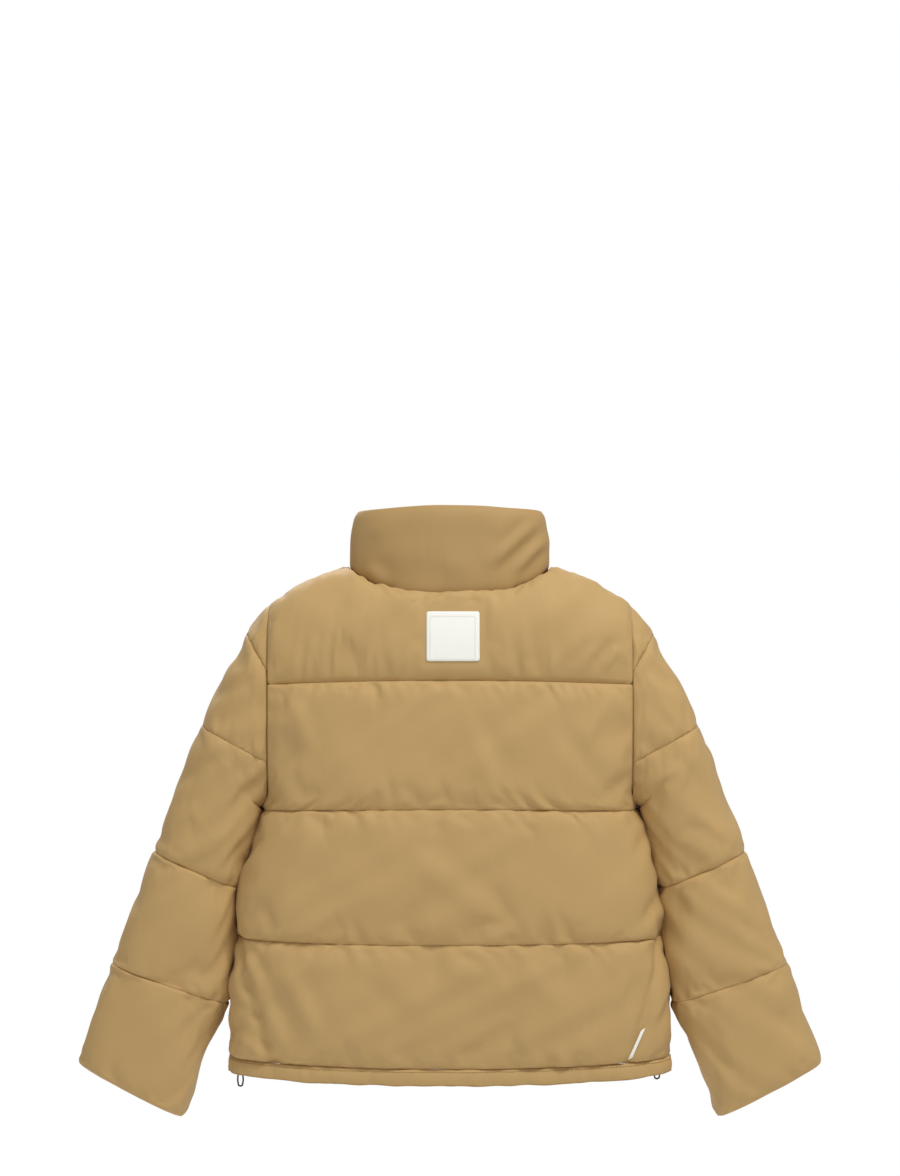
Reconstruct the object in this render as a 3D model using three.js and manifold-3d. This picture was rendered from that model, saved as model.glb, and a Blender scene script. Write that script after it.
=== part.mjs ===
// A quilted puffer jacket as it hangs, zipped up: padded panels between their quilt seams, lining,
// front zip, hand pockets, hem drawcord and two sleeves that swing at the shoulder and elbow.
// Millimetres, +Z up, the front faces -Y, the wearer's left is +X. Heights below are counted from the
// centre-back neck seam; the whole group is then moved so that its origin is the hanger loop.
import * as THREE from "three";
import { mergeVertices } from "three/addons/utils/BufferGeometryUtils.js";
import Module from "manifold-3d";

const wasm = await Module();
wasm.setup();

// Clearances
const SEAM_GAP = 0.3; // between two panels that are sewn together
const LAYER_GAP = 0.4; // between two layers that lie on each other
const RUN_GAP = 0.4; // around a piece that slides or turns

// Padded walls
const WALL = 13;
const COLLAR_WALL = 12;
const SLEEVE_WALL = 12;
const PINCH = 4; // how far a quilt seam pulls the shell in
const PUFF = 3; // how far a baffle stands out between two seams
const LINING_WALL = 1;
const POCKET_LAYER = 1.8;

// Body: half-width and depths
const SECTION_POWER = 3.5;
const CHEST_HALF_WIDTH = 248; // of the full oval that the armholes cut off
const ARMHOLE_X = 218;
const UNDERARM_HALF_WIDTH = 228;
const WAIST_HALF_WIDTH = 258;
const HEM_HALF_WIDTH = 269;
const FRONT_DEPTH = 75;
const YOKE_DEPTH = 80;
const BACK_DEPTH = 85;
const HEM_DEPTH = 76;

// Seam heights: at the centre and at the side
const YOKE_SEAM = { centre: -106, side: -114 };
const CHEST_SEAM = { centre: -259, side: -264 };
const WAIST_SEAM = { centre: -420, side: -415 };
const HEM_SEAM = { centre: -568, side: -559 };
const HEM_EDGE = { centre: -588, side: -577 };

// Neck, shoulder and collar
const NECK_HALF_WIDTH = 121;
const NECK_BACK = 58;
const NECK_SIDE_Z = 31;
const FRONT_NECK_DROP = 71;
const SHOULDER_END_Z = -16;
const COLLAR_TOP_HALF_WIDTH = 114;
const COLLAR_TOP_BACK = 52;
const COLLAR_BACK_HEIGHT = 103;
const COLLAR_SIDE_HEIGHT = 96;
const COLLAR_FRONT_HEIGHT = 90;
const SHOULDER_POWER = 2.5;

// Front zip
const ZIP_EDGE = 9; // half the opening between the front panels
const ZIP_RECESS = 5; // from the front plane back to the middle of the teeth
const ZIP_Y = ZIP_RECESS - FRONT_DEPTH;
const TEETH_INNER = 1.5;
const TEETH_WIDTH = 2.2;
const TEETH_THICK = 3.6;
const TAPE_THICK = 0.8;
const ZIP_BOTTOM = -580;
const RETAINER_HEIGHT = 12;
const SLIDER_TOP_Z = 74;
const FLAP_THICK = 2.4;

// Slider and pull, for the front zip; the pockets' are smaller by POCKET_SCALE
const SLIDER_LENGTH = 14;
const SLIDER_WIDTH = 12;
const PLATE_THICK = 1.8;
const BAIL_HEIGHT = 3;
const BAIL_THICK = 1.5;
const BAIL_WIDTH = 2.2;
const BAIL_SPAN = 9;
const PULL_LENGTH = 38;
const PULL_WIDTH = 7.5;
const PULL_THICK = 1.6;
const WINDOW_WIDTH = 4.4;
const WINDOW_LENGTH = 7;
const POCKET_SCALE = 0.75;

// Hand pockets
const POCKET_FROM_SIDE = 119; // measured in from the hem's side
const POCKET_Z = -415;
const POCKET_RECESS = 1.5;
const POCKET_X = HEM_HALF_WIDTH - POCKET_FROM_SIDE;
const POCKET_Y = POCKET_RECESS - FRONT_DEPTH;
const POCKET_SLANT = THREE.MathUtils.degToRad(18);
const POCKET_OPENING = 150;
const POCKET_SLOT_WIDTH = 15.6;
const CHAIN_THICK = 2.7;
const BAG_INNER_REACH = 88; // from the zip's middle towards the front's middle
const BAG_OUTER_REACH = 46;
const BAG_INNER_X = POCKET_X - BAG_INNER_REACH;
const BAG_OUTER_X = POCKET_X + BAG_OUTER_REACH;
const BAG_TOP_Z = -330;
const BAG_BOTTOM_Z = -540;

// Hem cord
const HEM_INSET = 2.5;
const HEM_WALL = 6;
const DRAWCORD_DIAMETER = 3;
const LOOP_DIAMETER = 1.5;
const LOCK_RADIUS = 4.5;
const LOCK_LENGTH = 14;
const LOCK_BORE = 2.6;
const BUTTON_TRAVEL = 3;
const BUTTON_RADIUS = 2.1;
const BUTTON_LENGTH = 9;
const LOCKS = [
  { side: "left", sign: 1, y: 10, drop: 599 },
  { side: "right", sign: -1, y: 20, drop: 588.5 },
];

// Sleeve sections: the outer and inner edge as [x, z], and half the depth
const ARMHOLE_RING = { outer: [218, -16], inner: [218, -258], depth: 62 };
const CAP_RING = { outer: [246, -51], inner: [224, -259], depth: 62 };
const BICEPS_RING = { outer: [300, -162], inner: [233.5, -261], depth: 60 };
const ELBOW_RING = { outer: [357, -314], inner: [257, -357], depth: 50 };
const FOREARM_RING = { outer: [409, -449], inner: [272, -496], depth: 44 };
const CUFF_RING = { outer: [450, -569], inner: [322, -636], depth: 36 };
const SLEEVE_POWER = 2.6;
const SLEEVE_SIDES = 14;
const SLEEVE_LINING_GAP = 1;
const CAP_SEAM = { from: [246, -51], to: [228, -80] };
const BICEPS_SEAM = { from: [299, -162], to: [222, -203] };
const CUFF_BAND = 20;
const CUFF_TURN = 4;

// Trim
const LOOP_STRAP = 3; // hanger loop strap
const HANGER_HALF_WIDTH = 25;
const HANGER_DROP = 16;
const HANGER_BACK = 3.6; // from the collar's inner face at the centre to the strap's ends
const HANGER_Z = 16;
const PATCH = { x: -3.6, width: 63, top: -24, bottom: -83, thick: 1 };
const TAG = { top: [-230, -521], bottom: [-214, -557], width: 6.5, thick: 1 };
const LABEL = { width: 34, top: 0.3, bottom: 0.62, thick: 0.8 };

const lerp = THREE.MathUtils.lerp;

// --- Solids from grids of points -------------------------------------------------------------

function signedVolume(points, faces) {
  const a = new THREE.Vector3();
  const b = new THREE.Vector3();
  const c = new THREE.Vector3();
  let volume = 0;
  for (const [i, j, k] of faces) {
    a.fromArray(points[i]);
    b.fromArray(points[j]);
    c.fromArray(points[k]);
    volume += a.dot(b.cross(c)) / 6;
  }
  return volume;
}

function closedGeometry(points, faces) {
  const turned = signedVolume(points, faces) < 0;
  const outward = turned ? faces.map(([i, j, k]) => [i, k, j]) : faces;
  const geometry = new THREE.BufferGeometry();
  geometry.setAttribute("position", new THREE.Float32BufferAttribute(points.flat(), 3));
  geometry.setIndex(outward.flat());
  return geometry;
}

// The closed solid between an outer and an inner grid of points with the same rows and columns.
// A wrapped grid's last column joins its first, which makes a tube wall.
function slab(outer, inner, wrapped = false) {
  const rows = outer.length;
  const columns = outer[0].length;
  const points = [...outer.flat(), ...inner.flat()];
  const out = (i, j) => i * columns + (j % columns);
  const into = (i, j) => rows * columns + out(i, j);
  const faces = [];
  const quad = (a, b, c, d) => faces.push([a, b, c], [a, c, d]);
  const steps = wrapped ? columns : columns - 1;
  for (let i = 0; i < rows - 1; i++) {
    for (let j = 0; j < steps; j++) {
      quad(out(i, j), out(i, j + 1), out(i + 1, j + 1), out(i + 1, j));
      quad(into(i, j), into(i + 1, j), into(i + 1, j + 1), into(i, j + 1));
    }
  }
  for (let j = 0; j < steps; j++) {
    quad(out(0, j + 1), out(0, j), into(0, j), into(0, j + 1));
    quad(out(rows - 1, j), out(rows - 1, j + 1), into(rows - 1, j + 1), into(rows - 1, j));
  }
  if (!wrapped) {
    const end = columns - 1;
    for (let i = 0; i < rows - 1; i++) {
      quad(out(i, 0), out(i + 1, 0), into(i + 1, 0), into(i, 0));
      quad(out(i + 1, end), out(i, end), into(i, end), into(i + 1, end));
    }
  }
  return closedGeometry(points, faces);
}

function solidOf(geometry) {
  const plain = geometry.clone();
  plain.deleteAttribute("normal");
  plain.deleteAttribute("uv");
  const merged = mergeVertices(plain, 1e-4);
  return new wasm.Manifold(
    new wasm.Mesh({
      numProp: 3,
      vertProperties: new Float32Array(merged.attributes.position.array),
      triVerts: new Uint32Array(merged.index.array),
    }),
  );
}

function geometryOf(solid) {
  const mesh = solid.getMesh();
  const geometry = new THREE.BufferGeometry();
  geometry.setAttribute("position", new THREE.BufferAttribute(new Float32Array(mesh.vertProperties), 3));
  geometry.setIndex(new THREE.BufferAttribute(new Uint32Array(mesh.triVerts), 1));
  return geometry;
}

function joined(...geometries) {
  return geometryOf(geometries.map(solidOf).reduce((all, one) => all.add(one)));
}

function cut(geometry, ...tools) {
  return geometryOf(tools.map(solidOf).reduce((rest, tool) => rest.subtract(tool), solidOf(geometry)));
}

function common(geometry, other) {
  return geometryOf(solidOf(geometry).intersect(solidOf(other)));
}

// A box from its low and high corners.
function block([x0, y0, z0], [x1, y1, z1]) {
  const box = new THREE.BoxGeometry(x1 - x0, y1 - y0, z1 - z0);
  return box.translate((x0 + x1) / 2, (y0 + y1) / 2, (z0 + z1) / 2);
}

// The same solid on the wearer's other side.
function mirrored(geometry) {
  const copy = geometry.clone().scale(-1, 1, 1);
  const turned = [];
  const index = copy.index.array;
  for (let i = 0; i < index.length; i += 3) turned.push(index[i], index[i + 2], index[i + 1]);
  copy.setIndex(turned);
  return copy;
}

// A round cord along a smooth curve through the given points.
function cordAlong(points, diameter, steps) {
  const section = new THREE.Shape();
  const sides = 8;
  for (let k = 0; k < sides; k++) {
    const angle = (2 * Math.PI * k) / sides;
    const point = [(diameter / 2) * Math.cos(angle), (diameter / 2) * Math.sin(angle)];
    if (k) section.lineTo(...point);
    else section.moveTo(...point);
  }
  const curve = new THREE.CatmullRomCurve3(points.map((p) => new THREE.Vector3(...p)));
  return new THREE.ExtrudeGeometry(section, { steps, extrudePath: curve, bevelEnabled: false });
}

// --- The body's form ---------------------------------------------------------------------------

const seamHeight = (seam, x) => lerp(seam.centre, seam.side, Math.min(1, Math.abs(x) / HEM_HALF_WIDTH) ** 2);

// Straight interpolation in a list of [height, value], from the top down.
function along(list, z) {
  if (z >= list[0][0]) return list[0][1];
  for (let i = 1; i < list.length; i++) {
    const [upper, high] = list[i - 1];
    const [lower, low] = list[i];
    if (z >= lower) return lerp(low, high, (z - lower) / (upper - lower));
  }
  return list.at(-1)[1];
}

const backDepth = (z) =>
  along(
    [
      [YOKE_SEAM.centre, YOKE_DEPTH],
      [CHEST_SEAM.centre, BACK_DEPTH],
      [WAIST_SEAM.centre, BACK_DEPTH],
      [HEM_EDGE.centre, HEM_DEPTH],
    ],
    z,
  );

const halfWidth = (z) =>
  along(
    [
      [CHEST_SEAM.side, UNDERARM_HALF_WIDTH],
      [lerp(CHEST_SEAM.side, WAIST_SEAM.side, 0.63), lerp(UNDERARM_HALF_WIDTH, WAIST_HALF_WIDTH, 0.77)],
      [WAIST_SEAM.side, WAIST_HALF_WIDTH],
      [HEM_EDGE.side, HEM_HALF_WIDTH],
    ],
    z,
  );

function ovalDepth(x, width, depth) {
  const share = Math.min(1, Math.abs(x) / width);
  return depth * (1 - share ** SECTION_POWER) ** (1 / SECTION_POWER);
}

// How far a baffle's shell stands out at a share of its height: pinched at both seams.
const puffAt = (share) => (PINCH + PUFF) * Math.sin(Math.PI * share) ** 0.7 - PINCH;

const PUFF_ROWS = [0, 0.15, 0.5, 0.85, 1];

// Where the outer face lies at a half-width x in the open part beside the armholes, y counted outwards.
function openDepth(x, z, side, inset) {
  const depth = side === "back" ? backDepth(z) : FRONT_DEPTH;
  return ovalDepth(x, CHEST_HALF_WIDTH - inset * 0.6, depth - inset);
}

// A point of the closed part below the armholes, by its share of the quarter from the centre to the side.
function closedPoint(share, heightOf, side, inset, startX = 0) {
  let x = startX;
  let y = 0;
  let z = heightOf(x);
  for (let turn = 0; turn < 3; turn++) {
    const width = halfWidth(z) - inset;
    const depth = (side === "back" ? backDepth(z) : FRONT_DEPTH) - inset;
    const start = Math.asin((startX / width) ** (SECTION_POWER / 2));
    const angle = lerp(start, Math.PI / 2, share);
    x = width * Math.sin(angle) ** (2 / SECTION_POWER);
    y = share === 1 ? 0 : depth * Math.cos(angle) ** (2 / SECTION_POWER);
    z = heightOf(x);
  }
  return [x, y, z];
}

// The upper panels' columns, from the centre to the armhole: first along the neck, then the shoulder.
const NECK_COLUMNS = [0, 0.25, 0.48, 0.7, 0.87, 1];
const SHOULDER_COLUMNS = [0.12, 0.35, 0.6, 0.82, 1];
const columnCount = NECK_COLUMNS.length + SHOULDER_COLUMNS.length;

const shoulderHeight = (share) => lerp(NECK_SIDE_Z, SHOULDER_END_Z, share) + 8 * Math.sin(Math.PI * share) ** 1.4;
const neckHeight = (side, x, width) => {
  const across = Math.min(1, Math.abs(x) / width);
  if (side === "back") return NECK_SIDE_Z * across ** 3;
  return NECK_SIDE_Z - FRONT_NECK_DROP * (1 - across ** 2) ** 0.75;
};

// How far each inner layer lies below the outer face on the shoulders, as a share of its inset.
const LAYER_DROP = 1.25;

// The upper edge of a yoke at one column: its place and its height.
function yokeTop(column, side, inset, startX) {
  const width = NECK_HALF_WIDTH - inset;
  const depth = (side === "back" ? NECK_BACK : FRONT_DEPTH) - inset;
  if (column < NECK_COLUMNS.length) {
    const start = Math.asin(startX / width);
    const angle = lerp(start, Math.PI / 2, NECK_COLUMNS[column]);
    const x = width * Math.sin(angle);
    const y = column === NECK_COLUMNS.length - 1 ? 0 : depth * Math.cos(angle);
    return [x, y, neckHeight(side, x, NECK_HALF_WIDTH) - inset * LAYER_DROP];
  }
  const share = SHOULDER_COLUMNS[column - NECK_COLUMNS.length];
  return [lerp(width, ARMHOLE_X, share), 0, shoulderHeight(share) - inset * LAYER_DROP];
}

// The x of a column below the yoke, the same for every layer.
function columnX(column, startX) {
  const [x] = yokeTop(column, "back", 0, startX);
  return x;
}

// A point of a yoke layer, by column and share of the way down to the yoke seam.
function yokePoint(column, share, side, inset, startX, puff = 0) {
  const [topX, topY, topZ] = yokeTop(column, side, inset, startX);
  const x = lerp(topX, columnX(column, startX), share);
  const bottomZ = seamHeight(YOKE_SEAM, x) + SEAM_GAP / 2;
  const bottomY = openDepth(x, bottomZ, side, inset - puff);
  const out = (1 - (1 - share) ** SHOULDER_POWER) ** (1 / SHOULDER_POWER);
  const down = 1 - (1 - share ** SHOULDER_POWER) ** (1 / SHOULDER_POWER);
  return [x, lerp(topY, bottomY, out), lerp(topZ, bottomZ, down)];
}

const YOKE_ROWS = [0, 0.25, 0.5, 0.75, 1];
const yokePuff = (share) => PUFF * Math.sin(Math.PI * share) - PINCH * share ** 3;

// --- Panels of half the body, laid out on the left side --------------------------------------------

const columns = [...Array(columnCount).keys()];

function yokeGrid(side, inset, startX, puffed) {
  return YOKE_ROWS.map((share) =>
    columns.map((column) => yokePoint(column, share, side, inset, startX, puffed ? yokePuff(share) : 0)),
  );
}

function openGrid(side, inset, startX, upper, lower, puffed, rows = PUFF_ROWS) {
  return rows.map((share) =>
    columns.map((column) => {
      const x = columnX(column, startX);
      const z = lerp(seamHeight(upper, x) - SEAM_GAP / 2, seamHeight(lower, x) + SEAM_GAP / 2, share);
      return [x, openDepth(x, z, side, inset - (puffed ? puffAt(share) : 0)), z];
    }),
  );
}

function closedGrid(side, inset, startX, upper, lower, puffed, rows = PUFF_ROWS) {
  return rows.map((share) =>
    columns.map((column) => {
      const heightOf = (x) =>
        lerp(seamHeight(upper, x) - SEAM_GAP / 2, seamHeight(lower, x) + SEAM_GAP / 2, share);
      const around = column / (columnCount - 1);
      return closedPoint(around, heightOf, side, inset - (puffed ? puffAt(share) : 0), startX);
    }),
  );
}

// Turns a half grid, whose y counts outwards, to its side of the body, clear of the side seam.
function placed(grid, side) {
  const sign = side === "back" ? 1 : -1;
  return grid.map((row) => row.map(([x, y, z]) => [x, sign * (y + SEAM_GAP / 2), z]));
}

// The full width of the back from its left half.
function fullWidth(grid) {
  return grid.map((row) => [...row.slice(1).reverse().map(([x, y, z]) => [-x, y, z]), ...row]);
}

function backPanel(makeGrid) {
  const outer = fullWidth(placed(makeGrid("back", 0, 0, true), "back"));
  const inner = fullWidth(placed(makeGrid("back", WALL, 0, false), "back"));
  return slab(outer, inner);
}

function frontPanel(makeGrid) {
  const outer = placed(makeGrid("front", 0, ZIP_EDGE, true), "front");
  const inner = placed(makeGrid("front", WALL, ZIP_EDGE, false), "front");
  return slab(outer, inner);
}

const upperBaffle = (side, inset, startX, puffed) =>
  openGrid(side, inset, startX, YOKE_SEAM, CHEST_SEAM, puffed);
const middleBaffle = (side, inset, startX, puffed) =>
  closedGrid(side, inset, startX, CHEST_SEAM, WAIST_SEAM, puffed);
const lowerBaffle = (side, inset, startX, puffed) =>
  closedGrid(side, inset, startX, WAIST_SEAM, HEM_SEAM, puffed);

// The lining runs from the neck to the hem seam as one layer on each side of the zip and across the back.
function liningGrid(side, inset, startX) {
  const rows = [0, 0.5, 1];
  return [
    ...yokeGrid(side, inset, startX, false),
    ...openGrid(side, inset, startX, YOKE_SEAM, CHEST_SEAM, false, [0.3, 0.94]),
    ...closedGrid(side, inset, startX, CHEST_SEAM, WAIST_SEAM, false, rows),
    ...closedGrid(side, inset, startX, WAIST_SEAM, HEM_SEAM, false, rows.slice(1)),
  ];
}

const LINING_INSET = WALL + 2 * LAYER_GAP + POCKET_LAYER;

function backLining() {
  const outer = fullWidth(placed(liningGrid("back", LINING_INSET, 0), "back"));
  const inner = fullWidth(placed(liningGrid("back", LINING_INSET + LINING_WALL, 0), "back"));
  return slab(outer, inner);
}

function frontLining() {
  const outer = placed(liningGrid("front", LINING_INSET, ZIP_EDGE), "front");
  const inner = placed(liningGrid("front", LINING_INSET + LINING_WALL, ZIP_EDGE), "front");
  return slab(outer, inner);
}

// --- Hem band and collar: each runs round the body from one side of the zip to the other -----------

function aroundBody(rowsOf) {
  const front = placed(rowsOf("front", ZIP_EDGE), "front");
  const back = placed(rowsOf("back", 0), "back");
  return front.map((row, i) => {
    const left = [...row, ...back[i].slice(0, -1).reverse()];
    return [...left, ...left.slice(0, -1).reverse().map(([x, y, z]) => [-x, y, z])];
  });
}

function hemBand() {
  const rows = [0, 1];
  const grid = (inset) => (side, startX) => closedGrid(side, inset, startX, HEM_SEAM, HEM_EDGE, false, rows);
  return slab(aroundBody(grid(HEM_INSET)), aroundBody(grid(HEM_INSET + HEM_WALL)));
}

const COLLAR_ROWS = [0, 0.3, 0.75, 1];

function collarHeight(side, across) {
  const middle = side === "back" ? COLLAR_BACK_HEIGHT : COLLAR_FRONT_HEIGHT;
  return lerp(middle, COLLAR_SIDE_HEIGHT, across ** 2);
}

// A stand collar's puff: none at the neck seam, rounded over at the top edge.
const collarPuff = (share) => 2 * Math.sin(Math.PI * share) - 3 * Math.max(0, (share - 0.8) / 0.2) ** 2;

function collarRows(inset, puffed) {
  return (side, startX) =>
    COLLAR_ROWS.map((share) =>
      NECK_COLUMNS.map((around) => {
        const thick = inset - (puffed ? collarPuff(share) : -collarPuff(share) / 3);
        const width = lerp(NECK_HALF_WIDTH, COLLAR_TOP_HALF_WIDTH, share) - thick;
        const back = lerp(NECK_BACK, COLLAR_TOP_BACK, share) - thick;
        const depth = side === "back" ? back : FRONT_DEPTH - thick;
        const start = Math.asin(startX / width);
        const angle = lerp(start, Math.PI / 2, around);
        const x = width * Math.sin(angle);
        const y = around === 1 ? 0 : depth * Math.cos(angle);
        const base = neckHeight(side, x, width) + SEAM_GAP;
        const top = collarHeight(side, x / width) - (puffed ? 0 : COLLAR_WALL * 0.1);
        return [x, y, lerp(base, top, share)];
      }),
    );
}

function collar() {
  return slab(aroundBody(collarRows(0, true)), aroundBody(collarRows(COLLAR_WALL, false)));
}

// --- Sleeves -----------------------------------------------------------------------------------

// One section of the sleeve: points round it, from its outer edge, at an inset from the surface.
function sectionPoints(ring, inset) {
  const outer = new THREE.Vector2(...ring.outer);
  const inner = new THREE.Vector2(...ring.inner);
  const centre = outer.clone().add(inner).multiplyScalar(0.5);
  const half = outer.clone().sub(centre);
  half.setLength(half.length() - inset);
  const points = [];
  for (let k = 0; k < SLEEVE_SIDES; k++) {
    const angle = (2 * Math.PI * k) / SLEEVE_SIDES;
    const c = Math.cos(angle);
    const s = Math.sin(angle);
    const along2 = Math.sign(c) * Math.abs(c) ** (2 / SLEEVE_POWER);
    const deep = Math.sign(s) * Math.abs(s) ** (2 / SLEEVE_POWER);
    points.push([centre.x + half.x * along2, (ring.depth - inset) * deep, centre.y + half.y * along2]);
  }
  return points;
}

// The section at a share of the way from one ring to another.
function between(a, b, share, puff = 0) {
  const outer = new THREE.Vector2(...a.outer).lerp(new THREE.Vector2(...b.outer), share);
  const inner = new THREE.Vector2(...a.inner).lerp(new THREE.Vector2(...b.inner), share);
  const out = outer.clone().sub(inner).setLength(puff);
  outer.add(out);
  inner.sub(out.multiplyScalar(0.3));
  return { outer: outer.toArray(), inner: inner.toArray(), depth: lerp(a.depth, b.depth, share) + puff };
}

const axisLength = (a, b) => {
  const middle = (ring) => new THREE.Vector2(...ring.outer).add(new THREE.Vector2(...ring.inner)).multiplyScalar(0.5);
  return middle(a).distanceTo(middle(b));
};

function tube(rings, inset, wall) {
  const outer = rings.map((ring) => sectionPoints(ring, inset));
  const inner = rings.map((ring) => sectionPoints(ring, inset + wall));
  return slab(outer, inner, true);
}

// A padded sleeve baffle between two rings, pinched at both.
function sleeveBaffle(a, b) {
  const gap = SEAM_GAP / 2 / axisLength(a, b);
  const shares = [gap, 0.15, 0.5, 0.85, 1 - gap];
  const outer = shares.map((share) => sectionPoints(between(a, b, share, puffAt(share) * 0.7), 0));
  const inner = shares.map((share) => sectionPoints(between(a, b, share), SLEEVE_WALL));
  return slab(outer, inner, true);
}

const armholeStart = {
  outer: [ARMHOLE_X + SEAM_GAP * 2, ARMHOLE_RING.outer[1]],
  inner: [ARMHOLE_X + SEAM_GAP * 2, ARMHOLE_RING.inner[1]],
  depth: ARMHOLE_RING.depth,
};
const elbowEnd = (from) => between(from, ELBOW_RING, 1 - SEAM_GAP / 2 / axisLength(from, ELBOW_RING));

// The space on the far side of a seam's plane, which runs along Y through two points; sign picks the side.
function beyond(seam, sign) {
  const from = new THREE.Vector2(...seam.from);
  const to = new THREE.Vector2(...seam.to);
  const reach = 800;
  const tilt = Math.atan2(from.y - to.y, from.x - to.x);
  const box = new THREE.BoxGeometry(reach, reach, reach);
  box.translate(0, 0, sign * (reach / 2 + SEAM_GAP / 2));
  box.rotateY(-tilt);
  return box.translate(from.x, 0, from.y);
}

const ABOVE = 1;
const BELOW = -1;

const upperRings = [armholeStart, CAP_RING, BICEPS_RING, elbowEnd(BICEPS_RING)];

function upperSleeve() {
  const whole = tube(upperRings, 0, SLEEVE_WALL);
  return {
    cap: common(whole, beyond(CAP_SEAM, ABOVE)),
    upper: common(common(whole, beyond(CAP_SEAM, BELOW)), beyond(BICEPS_SEAM, ABOVE)),
    elbow: common(whole, beyond(BICEPS_SEAM, BELOW)),
  };
}

const cuffShare = (distance) => 1 - distance / axisLength(FOREARM_RING, CUFF_RING);

function sleeveLinings() {
  const inset = SLEEVE_WALL + SLEEVE_LINING_GAP;
  const below = SEAM_GAP / 2 / axisLength(ELBOW_RING, FOREARM_RING);
  const bandEnd = between(FOREARM_RING, CUFF_RING, cuffShare(CUFF_TURN + CUFF_BAND + SEAM_GAP));
  return {
    upper: tube(upperRings, inset, LINING_WALL),
    lower: tube([between(ELBOW_RING, FOREARM_RING, below), FOREARM_RING, bandEnd], inset, LINING_WALL),
  };
}

function cuffElastic() {
  const top = between(FOREARM_RING, CUFF_RING, cuffShare(CUFF_TURN + CUFF_BAND));
  const bottom = between(FOREARM_RING, CUFF_RING, cuffShare(CUFF_TURN));
  return tube([top, bottom], SLEEVE_WALL + LAYER_GAP, 1.6);
}

// --- Zips --------------------------------------------------------------------------------------

// A slider astride a chain, in its own frame: the chain runs along Z through the origin, -Y is the front.
function slider(scale, chainThick) {
  const half = chainThick / 2 + RUN_GAP;
  const length = (SLIDER_LENGTH * scale) / 2;
  const width = (SLIDER_WIDTH * scale) / 2;
  const plate = PLATE_THICK * scale;
  const bridge = TEETH_INNER * scale - RUN_GAP;
  const front = -half - plate;
  const bailTop = front - (BAIL_HEIGHT + BAIL_THICK) * scale;
  const bailSide = (BAIL_WIDTH * scale) / 2;
  const span = (BAIL_SPAN * scale) / 2;
  const leg = BAIL_THICK * scale;
  return joined(
    block([-width, front, -length], [width, -half, length]),
    block([-width, half, -length], [width, half + plate, length]),
    block([-bridge, -half - plate / 2, 0], [bridge, half + plate / 2, length * 0.9]),
    block([-bailSide, bailTop, -span], [bailSide, bailTop + leg, span]),
    block([-bailSide, bailTop, span - leg], [bailSide, front + plate / 2, span]),
    block([-bailSide, bailTop, -span], [bailSide, front + plate / 2, leg - span]),
  );
}

// How far in front of the chain's middle the pull's pivot lies.
const pivotReach = (scale, chainThick) => chainThick / 2 + RUN_GAP + (PLATE_THICK + BAIL_HEIGHT / 2) * scale;

// The pull hangs from the bail: a flat tab whose upper window goes round the bail.
function pull(scale, chainThick) {
  const y = -pivotReach(scale, chainThick);
  const half = (PULL_THICK * scale) / 2;
  const width = (PULL_WIDTH * scale) / 2;
  const bar = half;
  const window = (WINDOW_WIDTH * scale) / 2;
  const tab = block([-width, y - half, -PULL_LENGTH * scale], [width, y + half, bar]);
  const hole = block([-window, y - half * 2, -bar - WINDOW_LENGTH * scale], [window, y + half * 2, -bar]);
  const eye = block(
    [-window / 2, y - half * 2, (-PULL_LENGTH + 2) * scale],
    [window / 2, y + half * 2, (-PULL_LENGTH + 6) * scale],
  );
  return cut(tab, hole, eye);
}

const zipTop = COLLAR_FRONT_HEIGHT - 4;

function zipTeeth() {
  const low = [TEETH_INNER, ZIP_Y - TEETH_THICK / 2, ZIP_BOTTOM + RETAINER_HEIGHT + SEAM_GAP];
  return block(low, [TEETH_INNER + TEETH_WIDTH, ZIP_Y + TEETH_THICK / 2, zipTop]);
}

function zipTape() {
  const inner = TEETH_INNER + TEETH_WIDTH + SEAM_GAP;
  const low = [inner, ZIP_Y - TAPE_THICK / 2, ZIP_BOTTOM + RETAINER_HEIGHT + SEAM_GAP];
  return block(low, [ZIP_EDGE - SEAM_GAP, ZIP_Y + TAPE_THICK / 2, zipTop]);
}

function retainerBox() {
  const half = TEETH_INNER + TEETH_WIDTH;
  const box = block([-half, ZIP_Y - 3, ZIP_BOTTOM], [half, ZIP_Y + 3, ZIP_BOTTOM + RETAINER_HEIGHT]);
  const pin = block([half - 0.5, ZIP_Y - 1, ZIP_BOTTOM], [ZIP_EDGE - SEAM_GAP, ZIP_Y + 1, ZIP_BOTTOM + RETAINER_HEIGHT]);
  return joined(box, pin);
}

function windFlap() {
  const near = ZIP_Y + SLIDER_WIDTH / 2 + RUN_GAP;
  const reach = ZIP_EDGE - SEAM_GAP;
  return block([-reach + 2, near, ZIP_BOTTOM], [reach, near + FLAP_THICK, zipTop]);
}

// --- Pockets -----------------------------------------------------------------------------------

// Puts a piece made round the origin, with its zip along Z, into the left pocket's place.
function inPocket(geometry) {
  return geometry.rotateY(-POCKET_SLANT).translate(POCKET_X, POCKET_Y, POCKET_Z);
}

function pocketSlot() {
  const half = POCKET_SLOT_WIDTH / 2;
  const length = POCKET_OPENING / 2;
  return inPocket(block([-half, -40, -length], [half, 40, length]));
}

function pocketChain() {
  const half = POCKET_SLOT_WIDTH / 2 - SEAM_GAP;
  const length = POCKET_OPENING / 2 - SEAM_GAP;
  const stop = 4;
  const inner = TEETH_INNER * POCKET_SCALE;
  const frame = block([-half, -CHAIN_THICK / 2, -length], [half, CHAIN_THICK / 2, length]);
  return inPocket(cut(frame, block([-inner, -CHAIN_THICK, -length + stop], [inner, CHAIN_THICK, length - stop])));
}

const pocketSliderZ = POCKET_OPENING / 2 - SEAM_GAP - 4 - (SLIDER_LENGTH * POCKET_SCALE) / 2 - 1;

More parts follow.
